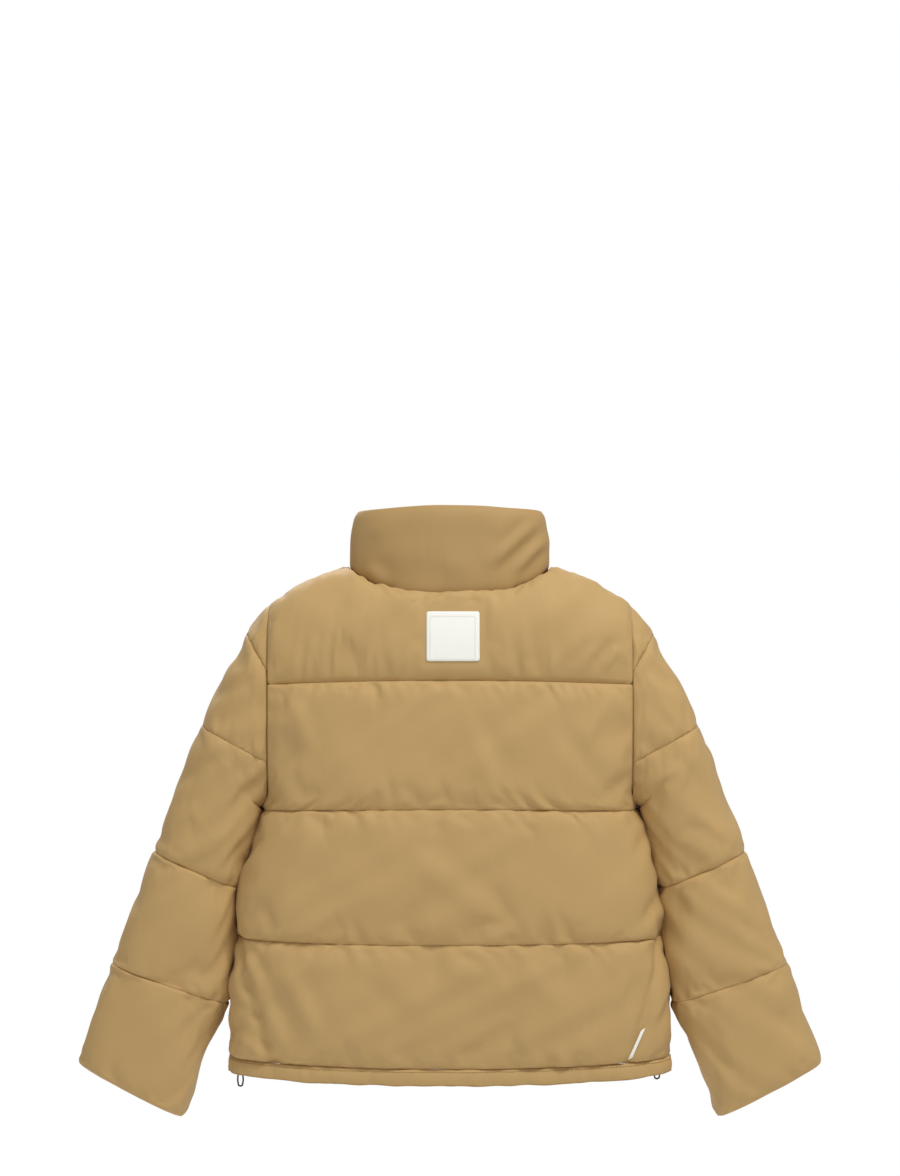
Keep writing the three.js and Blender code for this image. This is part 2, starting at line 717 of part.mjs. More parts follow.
// A flat bag behind the front panel, which follows its inner face.
function pocketBag() {
  const across = [0, 0.25, 0.5, 0.75, 1];
  const down = [0, 0.4, 0.7, 1];
  const grid = (inset) =>
    down.map((v) =>
      across.map((u) => {
        const x = lerp(BAG_INNER_X, BAG_OUTER_X, u);
        const z = lerp(BAG_TOP_Z, BAG_BOTTOM_Z, v);
        return [x, ovalDepth(x, halfWidth(z) - inset, FRONT_DEPTH - inset), z];
      }),
    );
  const inset = WALL + LAYER_GAP;
  return slab(placed(grid(inset), "front"), placed(grid(inset + POCKET_LAYER - LAYER_GAP), "front"));
}

// --- Hem cord and its locks ------------------------------------------------------------------------

const lockZ = (HEM_SEAM.side + HEM_EDGE.side) / 2;

// The free width inside the hem band at a depth y.
function insideHem(y, inset) {
  const depth = backDepth(lockZ) - inset;
  const share = Math.min(1, Math.abs(y) / depth);
  return (halfWidth(lockZ) - inset) * (1 - share ** SECTION_POWER) ** (1 / SECTION_POWER);
}

const lockReach = LOCK_LENGTH / 2 + BUTTON_TRAVEL + 2;
const lockX = (lock) =>
  insideHem(lock.y + lockReach, HEM_INSET + HEM_WALL) - LOCK_RADIUS - 2 * LAYER_GAP;

function lockBarrel(lock) {
  const barrel = new THREE.CylinderGeometry(LOCK_RADIUS, LOCK_RADIUS, LOCK_LENGTH, 16);
  const bore = new THREE.CylinderGeometry(LOCK_BORE, LOCK_BORE, LOCK_LENGTH, 12);
  bore.translate(0, LOCK_LENGTH / 4, 0);
  return cut(barrel, bore).translate(lock.sign * lockX(lock), lock.y, lockZ);
}

function lockButton(lock) {
  const button = new THREE.CylinderGeometry(BUTTON_RADIUS, BUTTON_RADIUS, BUTTON_LENGTH, 12);
  const cap = new THREE.CylinderGeometry(LOCK_RADIUS - 1, LOCK_RADIUS - 1, 1.5, 12);
  cap.translate(0, BUTTON_LENGTH / 2, 0);
  const reach = LOCK_LENGTH / 2 + BUTTON_TRAVEL + 1 - BUTTON_LENGTH / 2;
  return joined(button, cap).translate(lock.sign * lockX(lock), lock.y + reach, lockZ);
}

function drawcord() {
  const inset = HEM_INSET + HEM_WALL + 2 * LAYER_GAP + DRAWCORD_DIAMETER / 2;
  const depth = backDepth(lockZ) - inset;
  const points = [];
  const [left, right] = LOCKS;
  const startY = left.y + lockReach + DRAWCORD_DIAMETER / 2;
  const endY = right.y + lockReach + DRAWCORD_DIAMETER / 2;
  const width = halfWidth(lockZ) - inset;
  const angleAt = (y) => Math.asin((y / depth) ** (SECTION_POWER / 2));
  const first = angleAt(startY);
  const last = Math.PI - angleAt(endY);
  const steps = 20;
  for (let k = 0; k <= steps; k++) {
    const angle = lerp(first, last, k / steps);
    const c = Math.cos(angle);
    const x = Math.sign(c) * width * Math.abs(c) ** (2 / SECTION_POWER);
    const z = (seamHeight(HEM_SEAM, x) + seamHeight(HEM_EDGE, x)) / 2;
    points.push([x, depth * Math.sin(angle) ** (2 / SECTION_POWER), z]);
  }
  return cordAlong(points, DRAWCORD_DIAMETER, 32);
}

// A loop of cord that hangs from the underside of its lock.
function cordLoop(lock) {
  const x = lock.sign * lockX(lock);
  const top = lockZ - LOCK_RADIUS - SEAM_GAP;
  const low = -lock.drop + LOOP_DIAMETER / 2;
  const half = 3.4;
  const shoulder = low + half;
  const points = [
    [x - 1.6, lock.y, top],
    [x - 2.4, lock.y, lerp(top, shoulder, 0.3)],
    [x - half, lock.y, lerp(top, shoulder, 0.8)],
    [x - half * 0.72, lock.y, low + half * 0.3],
    [x, lock.y, low],
    [x + half * 0.72, lock.y, low + half * 0.3],
    [x + half, lock.y, lerp(top, shoulder, 0.8)],
    [x + 2.4, lock.y, lerp(top, shoulder, 0.3)],
    [x + 1.6, lock.y, top],
  ];
  return cordAlong(points, LOOP_DIAMETER, 18);
}

// --- Trim --------------------------------------------------------------------------------------

function hangerLoop() {
  const back = NECK_BACK - COLLAR_WALL - HANGER_BACK;
  const arc = (width, drop) => {
    const shape = new THREE.Shape();
    shape.moveTo(-width, 0);
    const steps = 12;
    for (let k = 1; k <= steps; k++) {
      const angle = (Math.PI * k) / steps;
      shape.lineTo(-width * Math.cos(angle), -drop * Math.sin(angle));
    }
    return shape;
  };
  const height = 6;
  const solid = (shape) => new THREE.ExtrudeGeometry(shape, { depth: height, bevelEnabled: false });
  const outer = solid(arc(HANGER_HALF_WIDTH, HANGER_DROP));
  const inner = solid(arc(HANGER_HALF_WIDTH - LOOP_STRAP, HANGER_DROP - LOOP_STRAP));
  inner.translate(0, 0.01, 0).scale(1, 1, 3).translate(0, 0, -height);
  return cut(outer, inner).translate(0, back, HANGER_Z - height / 2);
}

// A point of the back yoke's faceted layer, by half-width and share of the way down.
function yokeSurface(x, share, inset, puffed) {
  const row = Math.max(1, YOKE_ROWS.findIndex((value) => value >= share));
  const xs = columns.map((column) => columnX(column, 0));
  const column = Math.max(1, xs.findIndex((value) => value >= Math.abs(x)));
  const v = (share - YOKE_ROWS[row - 1]) / (YOKE_ROWS[row] - YOKE_ROWS[row - 1]);
  const u = (Math.abs(x) - xs[column - 1]) / (xs[column] - xs[column - 1]);
  const corner = (i, j) => {
    const puff = puffed ? yokePuff(YOKE_ROWS[i]) : 0;
    return new THREE.Vector3(...yokePoint(j, YOKE_ROWS[i], "back", inset, 0, puff));
  };
  const upper = corner(row - 1, column - 1).lerp(corner(row - 1, column), u);
  const lower = corner(row, column - 1).lerp(corner(row, column), u);
  const point = upper.lerp(lower, v);
  return [x, point.y, point.z];
}

// A thin piece that lies on one of the back yoke's layers.
function onYoke(xs, shares, inset, thick, puffed) {
  const within = YOKE_ROWS.filter((row) => row > shares[0] + 0.01 && row < shares[1] - 0.01);
  const rows = [shares[0], ...within, shares[1]];
  const grid = (depth) =>
    placed(rows.map((share) => xs.map((x) => yokeSurface(x, share, depth, puffed))), "back");
  return slab(grid(inset), grid(inset + thick));
}

// The share of the way down the yoke's faceted outer face at which its centre line reaches a height.
function shareAt(z) {
  const heights = YOKE_ROWS.map((share) => yokePoint(0, share, "back", 0, 0)[2]);
  const row = Math.max(1, heights.findIndex((height) => height <= z));
  const part = (heights[row - 1] - z) / (heights[row - 1] - heights[row]);
  return lerp(YOKE_ROWS[row - 1], YOKE_ROWS[row], part);
}

function labelPatch() {
  const half = PATCH.width / 2;
  const xs = [PATCH.x - half, 0, PATCH.x + half];
  const lift = PATCH.thick + LAYER_GAP;
  return onYoke(xs, [shareAt(PATCH.top), shareAt(PATCH.bottom)], -lift, PATCH.thick, true);
}

function sizeLabel() {
  const half = LABEL.width / 2;
  const depth = LINING_INSET + LINING_WALL + LAYER_GAP;
  return onYoke([-half, 0, half], [LABEL.top, LABEL.bottom], depth, LABEL.thick, false);
}

function sideTag() {
  const rows = [0, 0.5, 1];
  const grid = (out) =>
    rows.map((v) =>
      [-0.5, 0, 0.5].map((u) => {
        const x = lerp(TAG.top[0], TAG.bottom[0], v) + u * TAG.width;
        const z = lerp(TAG.top[1], TAG.bottom[1], v);
        const upper = seamHeight(WAIST_SEAM, x);
        const share = (upper - z) / (upper - seamHeight(HEM_SEAM, x));
        const stand = out + puffAt(share);
        return [x, ovalDepth(x, halfWidth(z) + stand, backDepth(z) + stand), z];
      }),
    );
  const lift = LAYER_GAP * 2;
  return slab(placed(grid(lift + TAG.thick), "back"), placed(grid(lift), "back"));
}

// --- The jacket --------------------------------------------------------------------------------

const finish = (color, roughness, metalness = 0) => () =>
  new THREE.MeshStandardMaterial({ color, roughness, metalness });
const shell = finish(0xb89a68, 0.6);
const sleeveShell = finish(0xa78559, 0.6);
const lining = finish(0x8d6c43, 0.7);
const tape = finish(0x6b5235, 0.85);
const teeth = finish(0x5a4630, 0.45);
const metal = finish(0xa9935f, 0.3, 0.9);
const cordage = finish(0x4a3524, 0.9);
const hardPlastic = finish(0x3a2c1e, 0.45);
const label = finish(0xeef2eb, 0.8);

const jacket = new THREE.Group();
const hangerY = NECK_BACK - COLLAR_WALL - HANGER_BACK - HANGER_DROP / 2;
jacket.position.set(0, -hangerY, -HANGER_Z);

function add(name, geometry, material, parent = jacket) {
  const mesh = new THREE.Mesh(geometry, material());
  mesh.name = name;
  parent.add(mesh);
  return mesh;
}

function addPair(name, geometry, material) {
  add(`left_${name}`, geometry, material);
  add(`right_${name}`, mirrored(geometry), material);
}

add("back_yoke", backPanel(yokeGrid), shell);
add("back_upper_baffle", backPanel(upperBaffle), shell);
add("back_middle_baffle", backPanel(middleBaffle), shell);
add("back_lower_baffle", backPanel(lowerBaffle), shell);
addPair("front_yoke", frontPanel(yokeGrid), shell);
addPair("front_upper_baffle", frontPanel(upperBaffle), shell);
addPair("front_middle_baffle", cut(frontPanel(middleBaffle), pocketSlot()), shell);
addPair("front_lower_baffle", cut(frontPanel(lowerBaffle), pocketSlot()), shell);
add("collar", collar(), shell);
add("hem_band", hemBand(), shell);
add("back_lining", backLining(), lining);
addPair("front_lining", frontLining(), lining);

const sleeve = upperSleeve();
addPair("sleeve_cap", sleeve.cap, sleeveShell);
addPair("sleeve_upper_baffle", sleeve.upper, sleeveShell);
addPair("sleeve_elbow_baffle", sleeve.elbow, sleeveShell);
addPair("sleeve_forearm_baffle", sleeveBaffle(ELBOW_RING, FOREARM_RING), sleeveShell);
addPair("sleeve_cuff_baffle", sleeveBaffle(FOREARM_RING, CUFF_RING), sleeveShell);
const sleeveLining = sleeveLinings();
addPair("sleeve_upper_lining", sleeveLining.upper, lining);
addPair("sleeve_lower_lining", sleeveLining.lower, lining);
addPair("cuff_elastic", cuffElastic(), tape);

addPair("zip_teeth", zipTeeth(), teeth);
addPair("zip_tape", zipTape(), tape);
add("zip_retainer_box", retainerBox(), teeth);
add("zip_wind_flap", windFlap(), shell);
const mainZip = new THREE.Group();
mainZip.position.set(0, ZIP_Y, SLIDER_TOP_Z);
jacket.add(mainZip);
add("main_zip_slider", slider(1, TEETH_THICK), metal, mainZip);
add("main_zip_pull", pull(1, TEETH_THICK), metal, mainZip);

addPair("pocket_bag", pocketBag(), lining);
addPair("pocket_zip_chain", pocketChain(), teeth);
const pocketSlider = slider(POCKET_SCALE, CHAIN_THICK).translate(0, 0, pocketSliderZ);
const pocketPull = pull(POCKET_SCALE, CHAIN_THICK).translate(0, 0, pocketSliderZ);
addPair("pocket_slider", inPocket(pocketSlider), metal);
addPair("pocket_pull", inPocket(pocketPull), metal);

for (const lock of LOCKS) {
  add(`${lock.side}_cord_lock_barrel`, lockBarrel(lock), hardPlastic);
  add(`${lock.side}_cord_lock_button`, lockButton(lock), hardPlastic);
  add(`${lock.side}_cord_loop`, cordLoop(lock), cordage);
}
add("hem_drawcord", drawcord(), cordage);

add("hanger_loop", hangerLoop(), tape);
add("label_patch", labelPatch(), label);
add("size_label", sizeLabel(), label);
add("side_tag", sideTag(), label);

export default jacket;
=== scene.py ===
"""Back view of a quilted puffer jacket: shells, linings, zips, pockets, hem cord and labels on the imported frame."""

import math

import bmesh
import bpy
import numpy as np
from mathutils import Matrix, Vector, noise


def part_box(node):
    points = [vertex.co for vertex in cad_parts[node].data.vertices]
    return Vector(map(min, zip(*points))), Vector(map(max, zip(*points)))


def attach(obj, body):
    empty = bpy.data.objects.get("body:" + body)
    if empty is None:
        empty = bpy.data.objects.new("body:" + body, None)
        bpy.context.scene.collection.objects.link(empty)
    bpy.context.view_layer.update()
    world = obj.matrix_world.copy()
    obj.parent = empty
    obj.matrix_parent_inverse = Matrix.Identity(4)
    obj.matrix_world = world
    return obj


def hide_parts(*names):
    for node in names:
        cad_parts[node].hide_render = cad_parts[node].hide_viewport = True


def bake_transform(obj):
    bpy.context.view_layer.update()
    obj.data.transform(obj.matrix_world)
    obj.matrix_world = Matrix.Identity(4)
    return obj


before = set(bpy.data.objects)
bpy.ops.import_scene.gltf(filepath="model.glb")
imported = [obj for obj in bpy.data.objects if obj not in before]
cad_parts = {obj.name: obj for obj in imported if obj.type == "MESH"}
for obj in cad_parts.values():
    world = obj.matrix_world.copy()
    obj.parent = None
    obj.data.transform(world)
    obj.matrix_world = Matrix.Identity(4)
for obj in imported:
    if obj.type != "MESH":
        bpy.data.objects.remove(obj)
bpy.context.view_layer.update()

# --- The jacket's form, in millimetres from the centre back of the neck seam ------------------------
HANGING_POINT = np.array([0.0, 34.4, 16.0])
WALL, SLEEVE_WALL, COLLAR_WALL = 13.0, 12.0, 12.0
PINCH, PUFF = 3.0, 3.2
FOLD_FADE = 0.35
CLOTH_FRAMES, MOST_SHIFT = 16, 2.6
LINING_DEPTH = 15.6
SECTION, SLEEVE_SECTION, SHOULDER = 3.5, 2.6, 2.5
ARMHOLE_X, FRONT_DEPTH, ZIP_EDGE = 218.0, 75.0, 9.0
YOKE_SEAM, CHEST_SEAM, WAIST_SEAM = (-106, -114), (-259, -264), (-420, -415)
HEM_SEAM, HEM_EDGE = (-568, -559), (-588, -577)
NECK_WIDTH, NECK_BACK, NECK_SIDE, NECK_DROP = 121.0, 58.0, 31.0, 71.0
COLLAR_TOP_WIDTH, COLLAR_TOP_BACK = 114.0, 52.0
COLLAR_BACK, COLLAR_SIDE, COLLAR_FRONT = 103.0, 96.0, 90.0
HALF_TURN = math.pi / 2
SIDES = (("left", 1), ("right", -1))
SIDE_HEIGHTS, SIDE_WIDTHS = [-577, -415, -359.1, -264], [269, 258, 251.1, 228]
ARMHOLE_MIDDLE, ARMHOLE_HALF_HEIGHT, ARMHOLE_HALF_DEPTH = -137, 121, 62
ARMHOLE_FOOT, UNDERARM, UNDERARM_WIDTH = -258, -264, 228

# Each sleeve ring: its outer and inner edge as (x, z), and its half depth.
RINGS = [
    ((218.3, -16), (218.3, -258), 62),
    ((246, -51), (224, -259), 62),
    ((300, -162), (233.5, -261), 60),
    ((357, -314), (257, -357), 50),
    ((409, -449), (272, -496), 44),
    ((450, -569), (322, -636), 36),
]
ELBOW, FOREARM, CUFF = 3, 4, 5
CAP_SEAM = ((246, -51), (228, -80))
BICEPS_SEAM = ((299, -162), (222, -203))


def lerp(a, b, t):
    return a + (b - a) * t


def ease(t):
    t = np.clip(t, 0, 1)
    return t * t * (3 - 2 * t)


def metres(points):
    return (np.asarray(points, float) - HANGING_POINT) * 0.001


def box_mm(node):
    return tuple(np.array(c) * 1000 + HANGING_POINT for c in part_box(node))


def seam_height(seam, x):
    return lerp(seam[0], seam[1], np.minimum(1, np.abs(x) / 269) ** 2)


def back_depth(z):
    return np.interp(z, [-588, -420, -259, -106], [76, 85, 85, 80])


def side_width(z):
    return np.interp(z, SIDE_HEIGHTS, SIDE_WIDTHS)


def side_edge(z, inset):
    """Where a body section ends: the armhole's outline above the underarm, the side seam below it."""
    ring = np.clip(np.abs(z - ARMHOLE_MIDDLE) / ARMHOLE_HALF_HEIGHT, 0, 1)
    reach = np.maximum(ARMHOLE_HALF_DEPTH * (1 - ring**SLEEVE_SECTION) ** (1 / SLEEVE_SECTION) - inset, 0)
    reach = np.where(z > ARMHOLE_FOOT, reach, 0)
    narrowing = lerp(UNDERARM_WIDTH, ARMHOLE_X, ease((z - UNDERARM) / 26))
    width = np.where(z > UNDERARM, narrowing, side_width(z))
    return np.where(z > ARMHOLE_FOOT, width, width - inset), reach


def section_at(share, z, front, inset=0.0):
    """The body's half section at a height: share runs from the middle to the side edge."""
    depth = (FRONT_DEPTH if front else back_depth(z)) - inset
    edge, reach = side_edge(z, inset)
    width = edge / (1 - np.clip(reach / depth, 0, 0.98) ** SECTION) ** (1 / SECTION)
    start = np.arcsin((ZIP_EDGE / width) ** (SECTION / 2)) if front else 0.0
    end = np.arcsin(np.clip((edge / width) ** (SECTION / 2), 0, 1))
    angle = lerp(start, end, share)
    return width * np.sin(angle) ** (2 / SECTION), depth * np.maximum(0, np.cos(angle)) ** (2 / SECTION)


def neck_height(across, front):
    if front:
        return NECK_SIDE - NECK_DROP * (1 - np.minimum(1, across) ** 2) ** 0.75
    return NECK_SIDE * across**3


def shoulder_height(share):
    return lerp(31, -16, share) + 8 * np.sin(math.pi * np.clip(share, 0, 1)) ** 1.4


def column_shares(front):
    """Columns that line up with the neck's side point and crowd where the neck turns."""
    turn = np.linspace(math.asin(ZIP_EDGE / NECK_WIDTH) if front else 0, HALF_TURN, 31)
    xs = np.concatenate([NECK_WIDTH * np.sin(turn), np.linspace(NECK_WIDTH, ARMHOLE_X, 25)[1:]])
    z = seam_height(YOKE_SEAM, xs)
    edge, reach = side_edge(z, 0)
    depth = FRONT_DEPTH if front else back_depth(z)
    width = edge / (1 - (reach / depth) ** SECTION) ** (1 / SECTION)
    start = np.arcsin((ZIP_EDGE / width) ** (SECTION / 2)) if front else 0.0
    turn = np.arcsin((xs / width) ** (SECTION / 2))
    return xs, np.clip((turn - start) / (turn[-1] - start), 0, 1)


def rows_between(count):
    """Shares of a baffle's height, crowded towards both seams."""
    t = np.linspace(0, 1, count)
    return t - np.sin(2 * math.pi * t) * 0.09


def body_grid(front, inset=0.0, dense=True):
    """One side of the body from the neck to the hem seam, with the rows at which baffles meet."""
    xs, shares = column_shares(front)
    if not dense:
        xs, shares = xs[::3], shares[::3]
    ring = NECK_WIDTH - inset
    rows, seams, near = [], [0], []
    phi = np.linspace(0, HALF_TURN, 24 if dense else 10)
    bottom_z = seam_height(YOKE_SEAM, xs)
    bottom_x, bottom_y = section_at(shares, bottom_z, front, inset)
    in_neck = xs <= NECK_WIDTH + 1e-6
    sine = np.minimum(1, xs / NECK_WIDTH)
    reach = (FRONT_DEPTH if front else NECK_BACK) - inset
    top_x = np.where(in_neck, ring * sine, lerp(ring, ARMHOLE_X, (xs - NECK_WIDTH) / (ARMHOLE_X - NECK_WIDTH)))
    top_y = np.where(in_neck, reach * np.sqrt(np.maximum(0, 1 - sine**2)), 0)
    top_z = np.where(
        in_neck, neck_height(sine, front), shoulder_height((xs - NECK_WIDTH) / (ARMHOLE_X - NECK_WIDTH))
    ) - 1.1 * inset
    for k, p in enumerate(phi):
        out, down = math.sin(p) ** (2 / SHOULDER), 1 - math.cos(p) ** (2 / SHOULDER)
        share = p / HALF_TURN
        x = lerp(top_x, bottom_x, out)
        rows.append(np.stack([x, lerp(top_y, bottom_y, out), lerp(top_z, bottom_z, down)], 1))
        near.append((np.full(len(xs), 90 * share), np.full(len(xs), 90 * (1 - share)), share))
    for k in range(1, len(rows) - 1):
        for _ in range(2 * min(k, len(rows) - 1 - k) if dense else 0):
            rows[k][1:-1] = (rows[k][:-2] + 2 * rows[k][1:-1] + rows[k][2:]) / 4
    seams.append(len(rows) - 1)
    for upper, lower in ((YOKE_SEAM, CHEST_SEAM), (CHEST_SEAM, WAIST_SEAM), (WAIST_SEAM, HEM_SEAM)):
        for share in rows_between(24 if dense else 9)[1:]:
            x = rows[-1][:, 0]
            for _ in range(3):
                z = lerp(seam_height(upper, x), seam_height(lower, x), share)
                x, y = section_at(shares, z, front, inset)
            rows.append(np.stack([x, y, z], 1))
            high = seam_height(upper, x) - seam_height(lower, x)
            near.append((high * share, high * (1 - share), share))
        seams.append(len(rows) - 1)
    return np.array(rows), seams, near


def sleeve_section(level, angles, inset=0.0):
    """Points round the sleeve at a level, counted in rings from the armhole."""
    k = min(int(level), len(RINGS) - 2)
    t = level - k
    (ao, ai, ad), (bo, bi, bd) = RINGS[k], RINGS[k + 1]
    outer, inner = (lerp(np.array(a, float), np.array(b, float), t) for a, b in ((ao, bo), (ai, bi)))
    centre, half = (outer + inner) / 2, (outer - inner) / 2
    half *= 1 - inset / np.linalg.norm(half)
    c, s = np.cos(angles), np.sin(angles)
    across = np.sign(c) * np.abs(c) ** (2 / SLEEVE_SECTION)
    deep = (lerp(ad, bd, t) - inset) * np.sign(s) * np.abs(s) ** (2 / SLEEVE_SECTION)
    return np.stack([centre[0] + half[0] * across, deep, centre[1] + half[1] * across], 1)


# --- Folds and wrinkles ------------------------------------------------------------------------------


def wave(x, y, z, seed=0.0):
    return np.array([noise.noise(Vector((a, b, c + seed))) for a, b, c in zip(x, y, z)])


def quilted(to_upper, to_lower, share, across, down, seed, pinch, puff, gathers):
    """How far a padded baffle's cloth stands out, from the distances to its two seams."""
    gap = np.minimum(to_upper, to_lower)
    loft = puff * np.sin(math.pi * np.clip(share, 0, 1)) ** 0.75
    which = np.where(to_upper < to_lower, 0.0, 7.3)
    uneven = 1 + 0.7 * wave(across / 22, which * 0, which * 0, seed + 29)
    pull = pinch * uneven * (np.exp(-gap / 3.0) + 0.4 * np.exp(-gap / 16))
    busy = 0.35 + 1.5 * np.clip(wave(across / 55, which, which * 0, seed + 3) + 0.35, 0, 1)
    lean = across + gap * 0.35 * np.sign(wave(across / 90, which, which * 0, seed + 5))
    ridges = 0.32 - np.abs(wave(lean / 17, gap / 70 + which, which * 0, seed)) * 2.4
    short = wave(lean / 10, gap / 40 + which, which * 0, seed + 31)
    pucker = gathers * (ridges * 3.4 + short * 2.4) * busy * np.exp(-gap / 15) * (1 - np.exp(-gap / 2.5))
    tilt = across * 0.62 + down * 0.78
    crease = wave(tilt / 25, (down * 0.62 - across * 0.78) / 160, which * 0, seed + 11) * 4.4
    other = wave((across * 0.7 - down * 0.72) / 46, (down * 0.7 + across * 0.72) / 150, which * 0, seed + 19) * 3.0
    broad = (crease + other) * (1 - np.exp(-gap / 14))
    return loft - pull + pucker + broad


def crease_line(x, z, start, end, width, depth):
    """A soft fold along a straight line, with a valley beside it, that fades towards its ends."""
    a, b = np.array(start, float), np.array(end, float)
    d = b - a
    length = np.linalg.norm(d)
    along = ((x - a[0]) * d[0] + (z - a[1]) * d[1]) / length**2
    off = ((x - a[0]) * d[1] - (z - a[1]) * d[0]) / length
    ends = ease(along / FOLD_FADE) * ease((1 - along) / FOLD_FADE)
    valley = 0.55 * np.exp(-(((off - width * 1.7) / (width * 1.2)) ** 2))
    return ends * depth * (np.exp(-((off / width) ** 2)) - valley)


# --- Meshes --------------------------------------------------------------------------------------------


def turns(count):
    """Angles round a full turn, without the last, which is the first again."""
    return np.linspace(0, 2 * math.pi, count + 1)[:-1]


def place_object(name, data):
    obj = bpy.data.objects.new(name, data)
    bpy.context.scene.collection.objects.link(obj)
    return obj


def grid_faces(rows, columns, ring=False, flip=False):
    faces = []
    for i in range(rows - 1):
        for j in range(columns if ring else columns - 1):
            a, b = i * columns + j, i * columns + (j + 1) % columns
            c, d = b + columns, a + columns
            faces.append((a, b, c, d) if flip else (a, d, c, b))
    return faces


def vertex_normals(verts, faces):
    verts = np.asarray(verts, float)
    total = np.zeros_like(verts)
    quads = np.array([f if len(f) == 4 else (f[0], f[1], f[2], f[2]) for f in faces])
    normal = np.cross(verts[quads[:, 2]] - verts[quads[:, 0]], verts[quads[:, 3]] - verts[quads[:, 1]])
    flat = np.array([len(f) == 3 for f in faces])
    if flat.any():
        t = quads[flat]
        normal[flat] = np.cross(verts[t[:, 1]] - verts[t[:, 0]], verts[t[:, 2]] - verts[t[:, 0]])
    for k in range(4):
        np.add.at(total, quads[:, k], normal)
    return total / np.maximum(1e-12, np.linalg.norm(total, axis=1))[:, None]


def piece(name, verts, faces, material, body="body", nodes=(), levels=0, creases=None, flat=False):
    """A mesh in the row frame that rides a body and may stand for CAD nodes; verts are in metres."""
    mesh = bpy.data.meshes.new(name)
    mesh.from_pydata([tuple(v) for v in verts], [], [tuple(f) for f in faces])
    tidy = bmesh.new()
    tidy.from_mesh(mesh)
    bmesh.ops.recalc_face_normals(tidy, faces=tidy.faces[:])
    tidy.to_mesh(mesh)
    tidy.free()
    mesh.update()
    if not flat:
        mesh.polygons.foreach_set("use_smooth", [True] * len(mesh.polygons))
    obj = place_object(name, mesh)
    mesh.materials.append(material)
    if creases:
        layer = mesh.attributes.new("crease_edge", "FLOAT", "EDGE")
        values = [0.0] * len(mesh.edges)
        for e in mesh.edges:
            values[e.index] = creases.get(tuple(sorted(e.vertices)), 0.0)
        layer.data.foreach_set("value", values)
    if levels:
        sub = obj.modifiers.new("round", "SUBSURF")
        sub.levels = sub.render_levels = levels
    if body:
        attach(obj, body)
    if nodes:
        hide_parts(*nodes)
    return obj


def padded_solid(outer, inner, faces):
    """A closed solid between two layers of the same faces, with its rim edges."""
    used = sorted({v for f in faces for v in f})
    place = {v: i for i, v in enumerate(used)}
    n = len(used)
    solid = [tuple(place[v] for v in f) for f in faces]
    rim = {}
    for f in faces:
        for a, b in zip(f, f[1:] + f[:1]):
            rim[(a, b)] = rim.get((a, b), 0) + 1
    edges = [(a, b) for a, b in rim if (b, a) not in rim]
    closed = list(solid) + [tuple(v + n for v in reversed(f)) for f in solid]
    closed += [(place[b], place[a], place[a] + n, place[b] + n) for a, b in edges]
    creases = {tuple(sorted((place[a], place[b]))): 0.55 for a, b in edges}
    creases.update({tuple(sorted((place[a] + n, place[b] + n))): 0.8 for a, b in edges})
    return np.concatenate([outer[used], inner[used]]), closed, creases


def cut_by_plane(verts, faces, line, keys):
    """Splits the faces along the plane through an (x, z) line, and gives new vertices their share of the keys."""
    bm = bmesh.new()
    layers = [bm.verts.layers.float.new(f"k{i}") for i in range(keys.shape[1])]
    for v, k in zip(verts, keys):
        vertex = bm.verts.new(v)
        for layer, value in zip(layers, k):
            vertex[layer] = value
    bm.verts.ensure_lookup_table()
    for f in faces:
        bm.faces.new([bm.verts[i] for i in f])
    (ax, az), (bx, bz) = line
    normal = Vector((az - bz, 0, bx - ax)).normalized()
    geom = bm.verts[:] + bm.edges[:] + bm.faces[:]
    bmesh.ops.bisect_plane(bm, geom=geom, dist=0.6, plane_co=(ax, 0, az), plane_no=normal)
    bm.verts.index_update()
    out = np.array([v.co[:] for v in bm.verts])
    values = np.array([[v[layer] for layer in layers] for v in bm.verts])
    made = [tuple(v.index for v in f.verts) for f in bm.faces]
    bm.free()
    return out, made, values


# --- The shell's skins: body back, two fronts and two sleeves -----------------------------------------


def body_skin(front):
    """A front of the wearer's left, or the whole back, with each point's distances to its seams and edges."""
    grid, seams, near = body_grid(front)
    rows, columns, _ = grid.shape
    upper, lower = (np.array([n[k] for n in near]).reshape(-1) for k in (0, 1))
    share = np.repeat([n[2] for n in near], columns)
    points = grid.copy()
    points[:, :, 1] *= -1 if front else 1
    across = np.tile(column_shares(front)[0], rows)
    if not front:
        points = np.concatenate([points[:, :0:-1] * (-1, 1, 1), points], 1)
        halves = [a.reshape(rows, columns) for a in (upper, lower, share, across)]
        wide = [np.concatenate([sign * a[:, :0:-1], a], 1).reshape(-1) for a, sign in zip(halves, (1, 1, 1, -1))]
        upper, lower, share, across = wide
        columns = 2 * columns - 1
    verts = points.reshape(-1, 3)
    faces = grid_faces(rows, columns, flip=not front)
    normals = vertex_normals(verts, faces)
    pinned = np.zeros((rows, columns), bool)
    pinned[seams] = True
    pinned[:, [0, -1]] = True
    region = np.repeat(np.searchsorted(seams, np.arange(rows - 1), side="right") - 1, columns - 1)
    edge = np.minimum(
        np.linalg.norm(points - points[:, -1:], axis=2), np.linalg.norm(points - points[:, :1], axis=2)
    ).reshape(-1)
    return dict(
        verts=verts, faces=faces, normals=normals, pinned=pinned.reshape(-1), region=region,
        upper=upper, lower=lower, share=share, across=across, edge=edge,
    )


